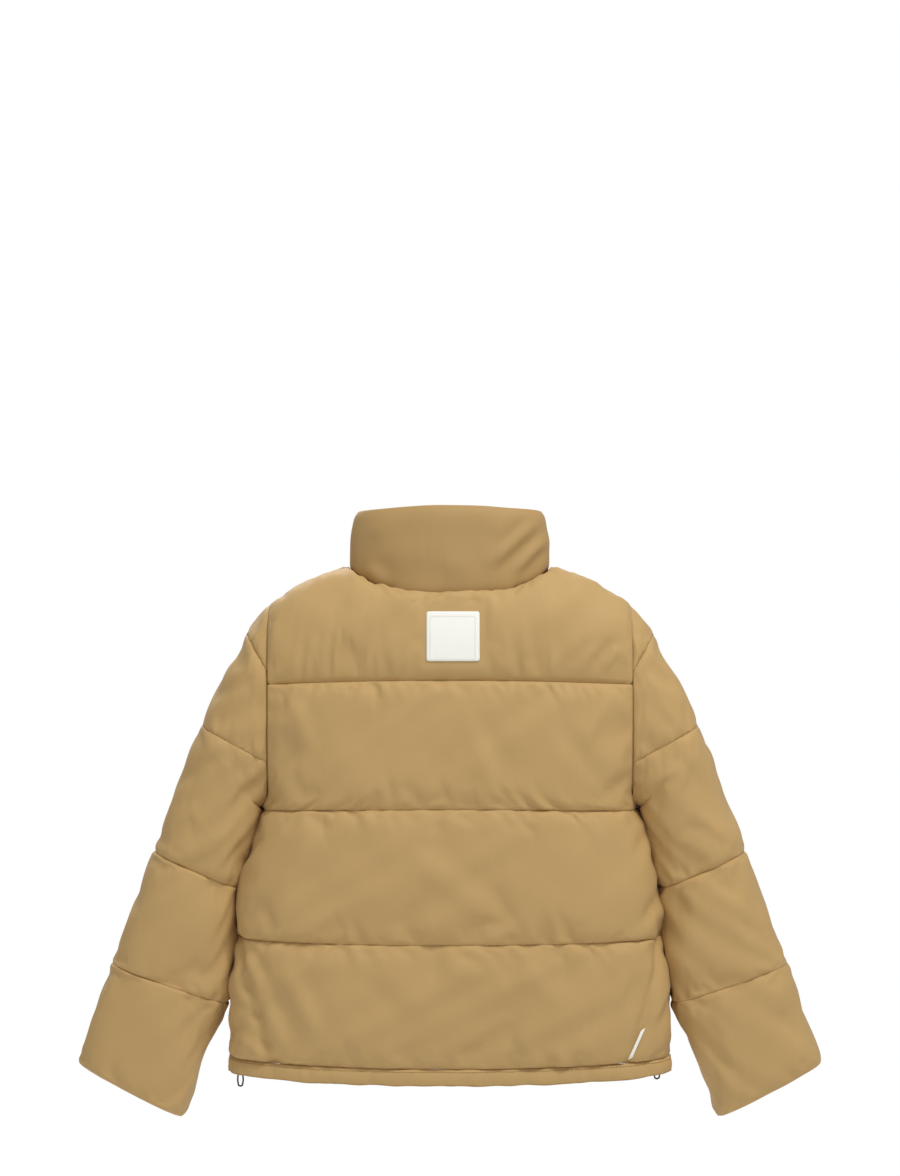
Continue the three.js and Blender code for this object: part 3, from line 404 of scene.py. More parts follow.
def sleeve_skin():
    """The left sleeve as a tube, cut along the two slanting seams, with a region for each baffle."""
    angles = turns(68)
    levels = [np.linspace(0, 1, 6), np.linspace(1, 2, 15)[1:], np.linspace(2, 3, 22)[1:]]
    levels += [3 + rows_between(20)[1:], 4 + rows_between(18)[1:]]
    levels = np.concatenate(levels)
    verts = np.concatenate([sleeve_section(v, angles) for v in levels])
    faces = grid_faces(len(levels), len(angles), ring=True, flip=False)
    keys = np.stack([np.repeat(levels, len(angles)), np.tile(angles, len(levels))], 1)
    for seam in (CAP_SEAM, BICEPS_SEAM):
        verts, faces, keys = cut_by_plane(verts, faces, seam, keys)
    return verts, faces, keys


def beyond(points, line):
    """Distance past the plane through an (x, z) line, down the sleeve."""
    (ax, az), (bx, bz) = line
    length = math.hypot(bx - ax, bz - az)
    return -((points[:, 0] - ax) * (bz - az) - (points[:, 2] - az) * (bx - ax)) / length


def quilted_sleeve(side):
    """A sleeve's skin with each point's distances to the seams above and below it."""
    verts, faces, keys = sleeve_skin()
    normals = vertex_normals(verts, faces)
    if (normals[:, 0] * (verts[:, 0] - 290)).mean() < 0:
        faces = [tuple(reversed(f)) for f in faces]
        normals = -normals
    seams = [CAP_SEAM, BICEPS_SEAM] + [RINGS[k][:2] for k in (ELBOW, FOREARM, CUFF)]
    cap, biceps, elbow, forearm, cuff = (beyond(verts, seam) for seam in seams)
    out_of_armhole = verts[:, 0] - RINGS[0][0][0]
    middle = np.array([verts[list(f)].mean(0) for f in faces])
    level = np.array([keys[list(f), 0].mean() for f in faces])
    region = np.where(beyond(middle, BICEPS_SEAM) > 0, 2, np.where(beyond(middle, CAP_SEAM) > 0, 1, 0))
    region = np.where(level > FOREARM, 4, np.where(level > ELBOW, 3, region))
    own = np.zeros(len(verts), int)
    for f, r in zip(faces, region):
        for v in f:
            own[v] = max(own[v], r)
    upper = np.abs(np.choose(own, [out_of_armhole, cap, biceps, elbow, forearm]))
    lower = np.abs(np.choose(own, [cap, biceps, elbow, forearm, cuff]))
    on_seam = np.min(np.abs([cap, biceps, elbow, forearm, cuff]), axis=0) < 0.4
    armhole = verts[:, 0] < 218.6
    high = keys[:, 0] < ELBOW
    upper = np.where(high, np.minimum(upper, np.maximum(out_of_armhole, 0)), upper)
    upper = np.where(on_seam & high, 0, upper)
    share = upper / np.maximum(1e-6, upper + lower)
    on_ring = (np.abs(keys[:, 0] - ELBOW) < 1e-4) | (np.abs(keys[:, 0] - FOREARM) < 1e-4)
    pinned = on_seam | armhole | on_ring | (keys[:, 0] > CUFF - 0.02)
    across = np.sin(keys[:, 1]) * 60 + np.cos(keys[:, 1]) * 95
    sign = 1 if side == "left" else -1
    flip = np.array([sign, 1, 1])
    if sign < 0:
        faces = [tuple(reversed(f)) for f in faces]
    return dict(
        verts=verts * flip, faces=faces, normals=normals * flip, pinned=pinned, region=region,
        upper=upper, lower=lower, share=share, across=across, level=keys[:, 0], angle=keys[:, 1],
    )


def side_seam_dip(x, z):
    """The side seam that wanders onto the back below the waist, one groove on each side."""
    line_z = [-600, -562, -518, -486, -452, -414, -380]
    line_x = [204, 211, 226, 234, 246, 256, 262]
    off = np.abs(np.abs(x) - np.interp(z, line_z, line_x))
    near = ease((-405 - z) / 18)
    pulls = 1 + 0.8 * wave(z / 13, x * 0, np.sign(x) * 4.0, 2.0)
    return -near * (5.0 * np.exp(-((off / 4.2) ** 2)) + 2.0 * np.exp(-off / 14) * pulls)


# Each fold's two ends as (x, z), its width and how far it stands out.
BACK_FOLDS = [
    ((60, -300), (-70, -400), 14, 2.2), ((-10, -130), (-60, -250), 12, 1.8), ((200, -440), (150, -540), 11, 2.4),
    ((-120, -150), (-190, -240), 12, -1.8), ((150, -270), (215, -390), 13, 2.0), ((-60, -430), (-150, -500), 14, 1.9),
    ((236, -450), (190, -556), 9, 2.6), ((120, -440), (40, -520), 16, -1.6), ((-195, -118), (-150, -190), 9, 1.8),
    ((190, -118), (160, -200), 9, 1.6), ((244, -428), (222, -474), 6, 3.2), ((256, -470), (226, -500), 6, 3.0),
    ((262, -500), (218, -520), 6, 2.8), ((252, -530), (216, -556), 7, 2.4), ((-256, -476), (-236, -520), 6, 2.8),
    ((-150, -96), (-178, -60), 6, 2.6), ((-178, -98), (-200, -62), 6, 2.6), ((-210, -440), (-196, -506), 7, 2.0),
]


def dress(skin, seed, folds=()):
    """Adds loft, pinched seams, puckers and folds to a skin's base surface; folds are for the back only."""
    x, y, z = skin["verts"].T
    sleeve = "level" in skin
    pinch = PINCH * (0.6 if sleeve else 1 - 0.75 * np.exp(-np.maximum(0, z + 100) / 40) * (z > -100))
    puff, gathers = (0.5 * PUFF, 1.4) if sleeve else (PUFF, 1.0)
    out = quilted(skin["upper"], skin["lower"], skin["share"], skin["across"], z, seed, pinch, puff, gathers)
    if sleeve:
        level, outward = skin["level"], np.cos(skin["angle"])
        inner = ease((-outward - 0.55) / 0.4) * ease((level - 1.8) / 0.3) * ease((4.4 - level) / 0.4)
        outline = ease((outward - 0.5) / 0.4)
        out = out * (1 - 0.6 * outline) + 5.5 * inner
    if folds:
        out = out + side_seam_dip(x, z)
        for start, end, width, depth in folds:
            out = out + 1.5 * crease_line(x, z, start, end, width, depth)
        off = np.hypot(np.maximum(np.abs(x + 3.6) - 33, 0), np.maximum(np.abs(z + 53.5) - 31, 0))
        under_label = (1 - ease(off / 16)) * (y > 0)
        out = lerp(out, 2.0, under_label)
        skin["pinned"] = skin["pinned"] | (under_label > 0.6)
    if not sleeve:
        fade = 1 - np.exp(-(skin["edge"] / 9) ** 2)
        below_armhole = ease((ARMHOLE_FOOT - z) / 15) * ease((z + 530) / 60)
        out = out * fade - 0.6 * (1 - fade)
        out = out + 2.6 * np.exp(-((skin["edge"] / 25) ** 2)) * below_armhole
    skin["dressed"] = skin["verts"] + skin["normals"] * out[:, None]
    return skin


def settle(skins):
    """Lets the cloth of all the skins billow between its seams, as one simulation, and caps how far it moves."""
    verts, faces, pins, start = [], [], [], 0
    for skin in skins:
        verts.append(skin["dressed"] * 0.001)
        faces += [tuple(v + start for v in f) for f in skin["faces"]]
        pins += [int(i) + start for i in np.nonzero(skin["pinned"])[0]]
        start += len(skin["dressed"])
    verts = np.concatenate(verts)
    mesh = bpy.data.meshes.new("shell_cloth")
    mesh.from_pydata([tuple(v) for v in verts], [], faces)
    obj = place_object("shell_cloth", mesh)
    group = obj.vertex_groups.new(name="seams")
    group.add(pins, 1.0, "REPLACE")
    cloth = obj.modifiers.new("cloth", "CLOTH")
    s = cloth.settings
    s.quality, s.mass, s.air_damping = 4, 0.12, 4
    s.tension_stiffness = s.compression_stiffness = 12
    s.shear_stiffness, s.bending_stiffness = 4, 0.35
    s.use_pressure, s.uniform_pressure_force = True, 0.9
    s.vertex_group_mass, s.pin_stiffness = "seams", 1.0
    s.shrink_min = -0.035
    s.effector_weights.gravity = 0
    cloth.collision_settings.use_collision = False
    cloth.point_cache.frame_start, cloth.point_cache.frame_end = 1, CLOTH_FRAMES
    for at in range(1, CLOTH_FRAMES + 1):
        bpy.context.scene.frame_set(at)
    graph = bpy.context.evaluated_depsgraph_get()
    moved = np.array([v.co[:] for v in obj.evaluated_get(graph).data.vertices])
    bpy.data.objects.remove(obj)
    bpy.data.meshes.remove(mesh)
    bpy.context.scene.frame_set(1)
    shift = (moved - verts) * 1000
    size = np.linalg.norm(shift, axis=1)
    shift *= np.where(size > MOST_SHIFT, MOST_SHIFT / np.maximum(size, 1e-9), 1)[:, None]
    start = 0
    for skin in skins:
        n = len(skin["dressed"])
        skin["dressed"] = skin["dressed"] + shift[start : start + n]
        start += n


# --- Materials -----------------------------------------------------------------------------------------


def new_group(name, inputs, outputs):
    group = bpy.data.node_groups.new(name, "ShaderNodeTree")
    for label, kind, value in inputs:
        socket = group.interface.new_socket(name=label, in_out="INPUT", socket_type=kind)
        if value is not None:
            socket.default_value = value
    for label, kind in outputs:
        group.interface.new_socket(name=label, in_out="OUTPUT", socket_type=kind)
    return group, group.nodes.new("NodeGroupInput"), group.nodes.new("NodeGroupOutput")


def add_math(nodes, links, kind, a, b=None):
    node = nodes.new("ShaderNodeMath")
    node.operation = kind
    for socket, value in zip(node.inputs, (a, b)):
        if value is None:
            continue
        if isinstance(value, (int, float)):
            socket.default_value = value
        else:
            links.new(value, socket)
    return node.outputs[0]


def add_noise(nodes, links, vector, scale, detail):
    node = nodes.new("ShaderNodeTexNoise")
    node.inputs["Detail"].default_value = detail
    links.new(vector, node.inputs["Vector"])
    links.new(scale, node.inputs["Scale"])
    return node


def weave_group():
    """Crossing threads at a given count per metre, as a height and a slight tone that is painted shade, darker where
    the weave is low.
    """
    group, give, take = new_group(
        "weave",
        [("Threads", "NodeSocketFloat", 1500.0), ("Depth", "NodeSocketFloat", 0.5)],
        [("Height", "NodeSocketFloat"), ("Tone", "NodeSocketFloat")],
    )
    n, l = group.nodes, group.links
    place = n.new("ShaderNodeTexCoord")
    split = n.new("ShaderNodeSeparateXYZ")
    l.new(place.outputs["Object"], split.inputs[0])
    slant = add_math(n, l, "ADD", split.outputs[0], split.outputs[1])
    warp = add_math(n, l, "SINE", add_math(n, l, "MULTIPLY", slant, give.outputs["Threads"]))
    weft = add_math(n, l, "SINE", add_math(n, l, "MULTIPLY", split.outputs[2], give.outputs["Threads"]))
    both = add_math(n, l, "MULTIPLY", warp, weft)
    l.new(add_math(n, l, "MULTIPLY", both, give.outputs["Depth"]), take.inputs["Height"])
    # The tone follows the height: painted shade, darker in the hollows between threads.
    half = add_math(n, l, "MULTIPLY", both, 0.5)
    l.new(add_math(n, l, "ADD", half, 0.5), take.inputs["Tone"])
    return group


def crinkle_group():
    """Soft creases of a thin cloth: a height and a patchy tone, at a given size in metres."""
    group, give, take = new_group(
        "crinkle",
        [("Size", "NodeSocketFloat", 0.03), ("Sharpness", "NodeSocketFloat", 0.5)],
        [("Height", "NodeSocketFloat"), ("Tone", "NodeSocketFloat")],
    )
    n, l = group.nodes, group.links
    place = n.new("ShaderNodeTexCoord")
    stretch = n.new("ShaderNodeMapping")
    stretch.inputs["Rotation"].default_value = (0, math.radians(38), 0)
    stretch.inputs["Scale"].default_value = (1.0, 0.7, 0.45)
    l.new(place.outputs["Object"], stretch.inputs["Vector"])
    scale = add_math(n, l, "DIVIDE", 1.0, give.outputs["Size"])
    soft = add_noise(n, l, stretch.outputs[0], scale, 2.5)
    soft.inputs["Distortion"].default_value = 0.6
    fold = add_math(n, l, "PINGPONG", soft.outputs["Fac"], 0.5)
    blend = n.new("ShaderNodeMix")
    l.new(give.outputs["Sharpness"], blend.inputs[0])
    l.new(soft.outputs["Fac"], blend.inputs[2])
    l.new(fold, blend.inputs[3])
    l.new(blend.outputs[0], take.inputs["Height"])
    patchy = add_noise(n, l, place.outputs["Object"], add_math(n, l, "MULTIPLY", scale, 0.35), 4)
    l.new(patchy.outputs["Fac"], take.inputs["Tone"])
    return group


WEAVE, CRINKLE = weave_group(), crinkle_group()


def to_linear(colour):
    return tuple((c / 255 / 12.92 if c <= 10 else ((c / 255 + 0.055) / 1.055) ** 2.4) for c in colour) + (1.0,)


def new_material(name, colour, low, high, weave=None):
    """A material with its creases group and a colour that runs between two shades of its dye."""
    material = bpy.data.materials.new(name)
    material.use_nodes = True
    n, l = material.node_tree.nodes, material.node_tree.links
    creases, mix = n.new("ShaderNodeGroup"), n.new("ShaderNodeMix")
    creases.node_tree = CRINKLE
    mix.data_type = "RGBA"
    base = to_linear(colour)
    for socket, share in ((6, low), (7, high)):
        mix.inputs[socket].default_value = tuple(min(1, c * share) for c in base[:3]) + (1,)
    l.new(mix.outputs[2], n["Principled BSDF"].inputs["Base Color"])
    return material, n, l, n["Principled BSDF"], creases, mix


def vary_roughness(n, l, shader, tone, low, high):
    rough = n.new("ShaderNodeMapRange")
    rough.inputs["To Min"].default_value, rough.inputs["To Max"].default_value = low, high
    l.new(tone, rough.inputs["Value"])
    l.new(rough.outputs[0], shader.inputs["Roughness"])


def add_bump(n, l, height, strength, distance, before=None):
    bump = n.new("ShaderNodeBump")
    bump.inputs["Strength"].default_value, bump.inputs["Distance"].default_value = strength, distance
    l.new(height, bump.inputs["Height"])
    if before:
        l.new(before, bump.inputs["Normal"])
    return bump.outputs[0]


def cloth_material(
    name, slot, colour, roughness, threads=2600.0, weave=0.25, crinkle=0.1, size=0.03, tone=0.07, sheen=0.0,
    specular=0.5,
):
    """Cloth of one dye: creases and threads in its height, a little patchiness in its colour and gloss, and painted
    shade in its colour where the weave is low.
    """
    material, n, l, shader, creases, mix = new_material(name, colour, 1 - tone, 1 + tone)
    material.diffuse_color = to_linear(colour)
    shader.inputs["Roughness"].default_value = roughness
    shader.inputs["Sheen Weight"].default_value = sheen
    shader.inputs["Specular IOR Level"].default_value = specular
    woven = n.new("ShaderNodeGroup")
    woven.node_tree = WEAVE
    creases.inputs["Size"].default_value = size
    woven.inputs["Threads"].default_value = threads
    woven.inputs["Depth"].default_value = weave
    # Painted shade: the weave's tone darkens the colour where the threads lie low.
    weave_hollow_shade = add_math(n, l, "MULTIPLY", woven.outputs["Tone"], 0.25)
    both = add_math(n, l, "ADD", creases.outputs["Tone"], weave_hollow_shade)
    l.new(add_math(n, l, "SUBTRACT", both, 0.12), mix.inputs[0])
    vary_roughness(n, l, shader, creases.outputs["Tone"], roughness - 0.06, roughness + 0.08)
    deep = add_bump(n, l, creases.outputs["Height"], crinkle, size * 0.09)
    l.new(add_bump(n, l, woven.outputs["Height"], 0.5, THREAD_RELIEF, deep), shader.inputs["Normal"])
    return material


def hard_material(name, colour, roughness, metallic=0.0, wear=0.3):
    """Moulded or plated pieces: brushed grain in the height and gloss, lighter where handled."""
    material, n, l, shader, creases, mix = new_material(name, colour, 1, 1 + wear)
    shader.inputs["Metallic"].default_value = metallic
    creases.inputs["Size"].default_value = 0.002
    l.new(creases.outputs["Tone"], mix.inputs[0])
    vary_roughness(n, l, shader, creases.outputs["Tone"], roughness * 0.8, min(1, roughness * 1.25))
    l.new(add_bump(n, l, creases.outputs["Height"], 0.25, 0.0001), shader.inputs["Normal"])
    return material


THREAD_RELIEF = 0.00015
SHELL_LOOK = dict(sheen=0.06, specular=0.3)
SHELL = cloth_material(
    "khaki_shell", "shell_nylon", (190, 156, 101), 0.64, crinkle=0.35, size=0.035, tone=0.035, **SHELL_LOOK
)
# Painted shade: the collar is the same shell cloth given a darker colour that stands in for shade, not a different
# dye.
SHADED_COLLAR_SHELL = cloth_material(
    "khaki_collar_painted_shade", "shell_nylon", (178, 145, 93), 0.66, crinkle=0.3, size=0.04, tone=0.03, **SHELL_LOOK
)
LINING = cloth_material("lining_taffeta", "lining_cloth", (139, 112, 72), 0.42, threads=3200, crinkle=0.55, tone=0.06)
POCKETING = cloth_material(
    "pocket_tricot", "lining_cloth", (120, 96, 62), 0.85, threads=2200, weave=0.5, crinkle=0.3, size=0.02
)
ELASTIC = cloth_material("ribbed_elastic", "elastic_band", (128, 102, 66), 0.8, threads=1400, weave=1.0, size=0.01)
TAPE = cloth_material("zip_tape_weave", "zip_tape", (104, 80, 50), 0.85, threads=3400, weave=1.0, size=0.01)
WHITE = cloth_material(
    "white_label_twill", "label_cloth", (250, 250, 242), 0.75, threads=4200, weave=0.8, crinkle=0.12, size=0.02,
    tone=0.015,
)
CORD = cloth_material(
    "brown_elastic_cord", "elastic_cord", (70, 45, 26), 0.8, threads=5200, weave=1.0, size=0.004, tone=0.2
)
STITCH = cloth_material(
    "sewing_thread", "shell_nylon", (158, 128, 82), 0.7, threads=9000, weave=1.0, crinkle=0.0, size=0.004
)
TEETH = hard_material("zip_teeth_resin", (92, 70, 45), 0.4)
BRASS = hard_material("antique_brass", (170, 143, 92), 0.32, metallic=0.95, wear=0.2)
LOCK = hard_material("lock_resin", (58, 43, 30), 0.42, wear=0.25)

# --- Shell baffles -----------------------------------------------------------------------------------

back = dress(body_skin(front=False), 1.0, BACK_FOLDS)
front = dress(body_skin(front=True), 23.0)
mirrored = dict(front)
for key in ("verts", "normals", "dressed"):
    mirrored[key] = front[key] * (-1, 1, 1)
mirrored["faces"] = [tuple(reversed(f)) for f in front["faces"]]
sleeves = {side: dress(quilted_sleeve(side), seed) for side, seed in (("left", 41.0), ("right", 67.0))}
fronts = {"left": front, "right": mirrored}
settle([back, front, mirrored, sleeves["left"], sleeves["right"]])


def baffles(skin, names, wall, bodies):
    """A skin's baffles as padded solids, each standing for its node."""
    outer = metres(skin["dressed"])
    inner = metres(skin["verts"] - skin["normals"] * wall)
    for k, (name, body) in enumerate(zip(names, bodies)):
        mine = [f for f, r in zip(skin["faces"], skin["region"]) if r == k]
        verts, faces, creases = padded_solid(outer, inner, mine)
        made = piece(f"{name}_shell", verts, faces, SHELL, body, [name], levels=1, creases=creases)


BODY_PARTS = ["yoke", "upper_baffle", "middle_baffle", "lower_baffle"]
SLEEVE_PARTS = ["cap", "upper_baffle", "elbow_baffle", "forearm_baffle", "cuff_baffle"]
baffles(back, [f"back_{part}" for part in BODY_PARTS], WALL, ["body"] * 4)
for side, _ in SIDES:
    baffles(fronts[side], [f"{side}_front_{part}" for part in BODY_PARTS], WALL, ["body"] * 4)
    moves = [f"{side}_sleeve"] * 3 + [f"{side}_forearm"] * 2
    baffles(sleeves[side], [f"{side}_sleeve_{part}" for part in SLEEVE_PARTS], SLEEVE_WALL, moves)


def gusset(name, inner_loop, outer_loop, steps=7):
    """Cloth between a seam's two sides: a thin padded band from the inner loop to the outer one, baked in place."""
    n = len(inner_loop)
    rows = [lerp(inner_loop, outer_loop, k / steps) for k in range(steps + 1)]
    verts = np.concatenate(rows)
    faces = grid_faces(steps + 1, n, ring=True)
    normals = vertex_normals(verts, faces)
    solid, closed, creases = padded_solid(metres(verts), metres(verts - normals * 1.2), faces)
    made = piece(name, solid, closed, SHELL, body=None)
    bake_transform(made)


def inset_loop(level, side, inset):
    loop = sleeve_section(level, turns(64), inset)
    return loop * (1 if side == "left" else -1, 1, 1)


for side, sign in SIDES:
    wide = np.array([sign * 2.6, 0, 0])
    ring = inset_loop(0, side, 5.5)
    gusset(f"{side}_armhole_gusset", ring - wide * 0.3, ring + wide * 0.7)
    axis = np.array([sign * 0.3950, 0, -0.9187]) * 2.6
    ring = inset_loop(ELBOW, side, 5.5)
    centre = np.array([sign * 307, 0, -335.5])
    gusset(
        f"{side}_elbow_gusset", ring - axis * 0.5, ring + axis * 0.5,
    )

# --- Collar, hem band and stitching ----------------------------------------------------------------


def round_body(points_of):
    """Rows that run from one side of the zip round the back to the other, from a half section of each side."""
    ahead, behind = points_of(True), points_of(False)
    ahead[:, :, 1] *= -1
    left = np.concatenate([ahead, behind[:, -2::-1]], 1)
    return np.concatenate([left, left[:, -2::-1] * (-1, 1, 1)], 1)


def collar_rows(inset, shares, outside):
    def half(front):
        rows = []
        for share in shares:
            bulge = 2.4 * math.sin(math.pi * share) ** 0.8 - 3.5 * max(0.0, (share - 0.86) / 0.14) ** 2
            thick = inset - (bulge if outside else -bulge / 3)
            width = lerp(NECK_WIDTH, COLLAR_TOP_WIDTH, share) - thick
            reach = FRONT_DEPTH - thick if front else lerp(NECK_BACK, COLLAR_TOP_BACK, share) - thick
            turn = np.linspace(math.asin(ZIP_EDGE / width) if front else 0, HALF_TURN, 32)
            x, y = width * np.sin(turn), reach * np.cos(turn)
            y[-1] = 0
            across = x / width
            top = lerp(COLLAR_FRONT if front else COLLAR_BACK, COLLAR_SIDE, across**2)
            base = neck_height(across, front) - (4.5 if outside else 1)
            rows.append(np.stack([x, y, lerp(base, top, share)], 1))
        return np.array(rows)

    return round_body(half)


COLLAR_FOLDS = [
    ((-114, 92), (-40, 24), 7, 5.0), ((-118, 66), (-72, 18), 6, 4.0), ((-84, 100), (-50, 62), 8, 1.8),
    ((106, 30), (70, 6), 8, 2.0), ((60, 98), (96, 60), 10, 1.6), ((20, 40), (-40, 12), 12, 1.4),
]


def collar():
    shares = np.concatenate([[0, 0.02, 0.05], np.linspace(0.1, 0.9, 15), [0.94, 0.975, 1.0]])
    outer, inner = collar_rows(0, shares, True), collar_rows(COLLAR_WALL, shares, False)
    inner[:, :, 2] -= 1.2 * shares[:, None]
    rows, columns, _ = outer.shape
    verts, lining = outer.reshape(-1, 3), inner.reshape(-1, 3)
    faces = grid_faces(rows, columns, flip=True)
    normals = vertex_normals(verts, faces)
    x, y, z = verts.T
    share = np.repeat(shares, columns)
    out = -1.2 * np.exp(-share * 90 / 2.5) - 0.5 * np.exp(-share * 90 / 12)
    gathers = wave(x / 15, z / 60, y / 20, 8.0) * np.exp(-share * 90 / 14) * 2.0
    out += wave(x / 52, z / 34, y / 50, 5.0) * 2.2 + gathers
    folds = sum(crease_line(x, z, *fold) for fold in COLLAR_FOLDS)
    out += np.where(y > -5, folds, 0) * np.sin(math.pi * np.clip(share, 0, 1)) ** 0.4
    outer = metres(verts + normals * out[:, None])
    solid, closed, creases = padded_solid(outer, metres(lining), faces)
    made = piece("collar_shell", solid, closed, SHADED_COLLAR_SHELL, nodes=["collar"], levels=1, creases=creases)


collar()


def hem_rows(inset, shares, ripple):
    ahead_x, ahead = column_shares(True)
    behind_x, behind = column_shares(False)

    def half(front):
        part = ahead if front else behind
        rows, x = [], (ahead_x if front else behind_x)
        for share in shares:
            for _ in range(3):
                z = lerp(seam_height(HEM_SEAM, x) - 0.2, seam_height(HEM_EDGE, x), share)
                x, y = section_at(part, z, front, inset)
            rows.append(np.stack([x, y, z], 1))
        return np.array(rows)

    points = round_body(half)
    flat = points.reshape(-1, 3)
    if ripple:
        faces = grid_faces(*points.shape[:2])
        normals = vertex_normals(flat, faces)
        share = np.repeat(shares, points.shape[1])
        x, y, _ = flat.T
        gather = wave(x / 9, y / 9, share * 0.6, 31.0) * 2.4 + wave(x / 34, y / 30, share, 37.0) * 1.6
        roll = 1.4 * np.sin(math.pi * share) - 3.4 * np.exp(-share * 20 / 1.6)
        points = (flat + normals * (gather + roll)[:, None]).reshape(points.shape)
        points[:, :, 2] += (wave(x / 26, y / 26, share * 0, 43.0) * 1.8 * share).reshape(points.shape[:2])
    return points


def hem_band():
    shares = np.array([0, 0.06, 0.15, 0.3, 0.5, 0.7, 0.85, 0.94, 1.0])
    outer, inner = hem_rows(1.6, shares, True), hem_rows(8.5, shares, False)
    faces = grid_faces(*outer.shape[:2])
    solid, closed, creases = padded_solid(metres(outer.reshape(-1, 3)), metres(inner.reshape(-1, 3)), faces)
    made = piece("hem_band_shell", solid, closed, SHELL, nodes=["hem_band"], levels=1, creases=creases)
    return outer


hem = hem_band()


def stitches(name, line, normal, material, length=3.2, gap=1.0, thick=0.35, lift=0.25):
    """A row of single stitches along a line of points: small raised thread bars."""
    line, normal = np.asarray(line, float), np.asarray(normal, float)
    step = np.linalg.norm(np.diff(line, axis=0), axis=1)
    at = np.concatenate([[0], np.cumsum(step)])
    verts, faces = [], []
    position = gap
    while position + length < at[-1]:
        ends = []
        for p in (position, position + length / 2, position + length):
            point = np.array([np.interp(p, at, line[:, k]) for k in range(3)])
            up = np.array([np.interp(p, at, normal[:, k]) for k in range(3)])
            ends.append((point, up / np.linalg.norm(up)))
        for k, (point, up) in enumerate(ends):
            along = ends[2][0] - ends[0][0]
            side = np.cross(along / np.linalg.norm(along), up) * thick
            rise = lift if k == 1 else -0.15
            centre = point + up * rise
            verts += [centre - side, point + up * (rise + thick), centre + side, point + up * (rise - thick)]
        b = len(verts) - 12
        for k in (0, 4):
            for i in range(4):
                j = (i + 1) % 4
                faces.append((b + k + i, b + k + j, b + k + 4 + j, b + k + 4 + i))
        faces += [(b + 3, b + 2, b + 1, b), (b + 8, b + 9, b + 10, b + 11)]
        position += length + gap
    return piece(name, metres(verts), faces, material)


def hem_stitches():
    flat = hem.reshape(-1, 3)
    normals = vertex_normals(flat, grid_faces(*hem.shape[:2])).reshape(hem.shape)
    stitches("hem_topstitch", hem[2], normals[2], STITCH)
    stitches("hem_edge_stitch", hem[7], normals[7], STITCH)


hem_stitches()

# --- Linings and inner bands --------------------------------------------------------------------------


def sheet_piece(name, node, grid, out, thick, material, body="body", ring=False):
    """Cloth on a grid of points, lifted by a height map and closed to its thickness; its width across is measured but
    not used.
    """
    rows, columns = grid.shape[:2]
    verts = grid.reshape(-1, 3)
    faces = grid_faces(rows, columns, ring=ring)
    normals = vertex_normals(verts, faces)
    verts = verts + normals * np.reshape(out, (-1, 1))
    solid, closed, creases = padded_solid(metres(verts), metres(verts - normals * thick), faces)
    made = piece(name, solid, closed, material, body, [node], levels=1, creases=creases)
    across = np.linalg.norm(np.diff(grid, axis=1), axis=2).sum(1).mean()
    if ring:
        across += np.linalg.norm(grid[:, 0] - grid[:, -1], axis=1).mean()


def body_lining(front):
    grid, _, _ = body_grid(front, LINING_DEPTH, dense=False)
    grid = grid.copy()
    grid[:, :, 1] *= -1 if front else 1
    if not front:
        grid = np.concatenate([grid[:, :0:-1] * (-1, 1, 1), grid], 1)
    flat = grid.reshape(-1, 3)
    out = wave(flat[:, 0] / 40, flat[:, 2] / 90, flat[:, 1] / 60, 51.0) * 2.2 - 0.6
    return grid, out.reshape(grid.shape[:2])


def on_side(grid, sign):
    """A grid of the wearer's left as it is, or turned over for the right with its columns in turn."""
    return grid * (1, 1, 1) if sign > 0 else (grid * (-1, 1, 1))[:, ::-1]


grid, out = body_lining(False)
sheet_piece("back_lining_cloth", "back_lining", grid[:, ::-1], -out[:, ::-1], 1.0, LINING)
grid, out = body_lining(True)
for side, sign in SIDES:
    sheet_piece(
        f"{side}_front_lining_cloth", f"{side}_front_lining", on_side(grid, sign), -out[:, ::sign], 1.0, LINING,
    )
LINING_SPANS = (("upper", "sleeve", 0.02, 2.985), ("lower", "forearm", 3.01, 4.8))
CUFF_LENGTH, RIB_START, RIB_END, RIBS = 137, 24, 4, 160
for side, sign in SIDES:
    angles = turns(40)
    for part, limb, first, last in LINING_SPANS:
        tube = [sleeve_section(v, angles, SLEEVE_WALL + 2.2) for v in np.linspace(first, last, 26)]
        grid = on_side(np.array(tube), sign)
        flat = grid.reshape(-1, 3)
        ripple = wave(flat[:, 0] / 26, flat[:, 2] / 60, flat[:, 1] / 26, 57.0) * 1.6
        sheet_piece(
            f"{side}_sleeve_{part}_lining_cloth", f"{side}_sleeve_{part}_lining", grid, ripple, 1.0, LINING,
            f"{side}_{limb}", ring=True,
        )
    levels = 4 + np.linspace(1 - RIB_START / CUFF_LENGTH, 1 - RIB_END / CUFF_LENGTH, 10)
    around = turns(RIBS)
    grid = on_side(np.array([sleeve_section(v, around, SLEEVE_WALL + 0.9) for v in levels]), sign)
    ribs = np.tile(np.where(np.arange(RIBS) % 2 == 0, 0.5, -0.3), (10, 1))
    sheet_piece(
        f"{side}_cuff_rib", f"{side}_cuff_elastic", grid, ribs, 1.1, ELASTIC,
        f"{side}_forearm", ring=True,
    )

# --- Labels, hanging loop and side tag ----------------------------------------------------------------


def back_surface(x, z):
    """How far back the dressed back skin stands at a place, from its six nearest points."""
    verts = back["dressed"]
    off = (verts[:, 0] - x) ** 2 + (verts[:, 2] - z) ** 2 + np.where(verts[:, 1] < 20, 1e6, 0)
    near = np.argsort(off)[:6]
    weight = 1 / (off[near] + 0.5)
    weight /= weight.sum()
    return (verts[near, 1] * weight).sum()


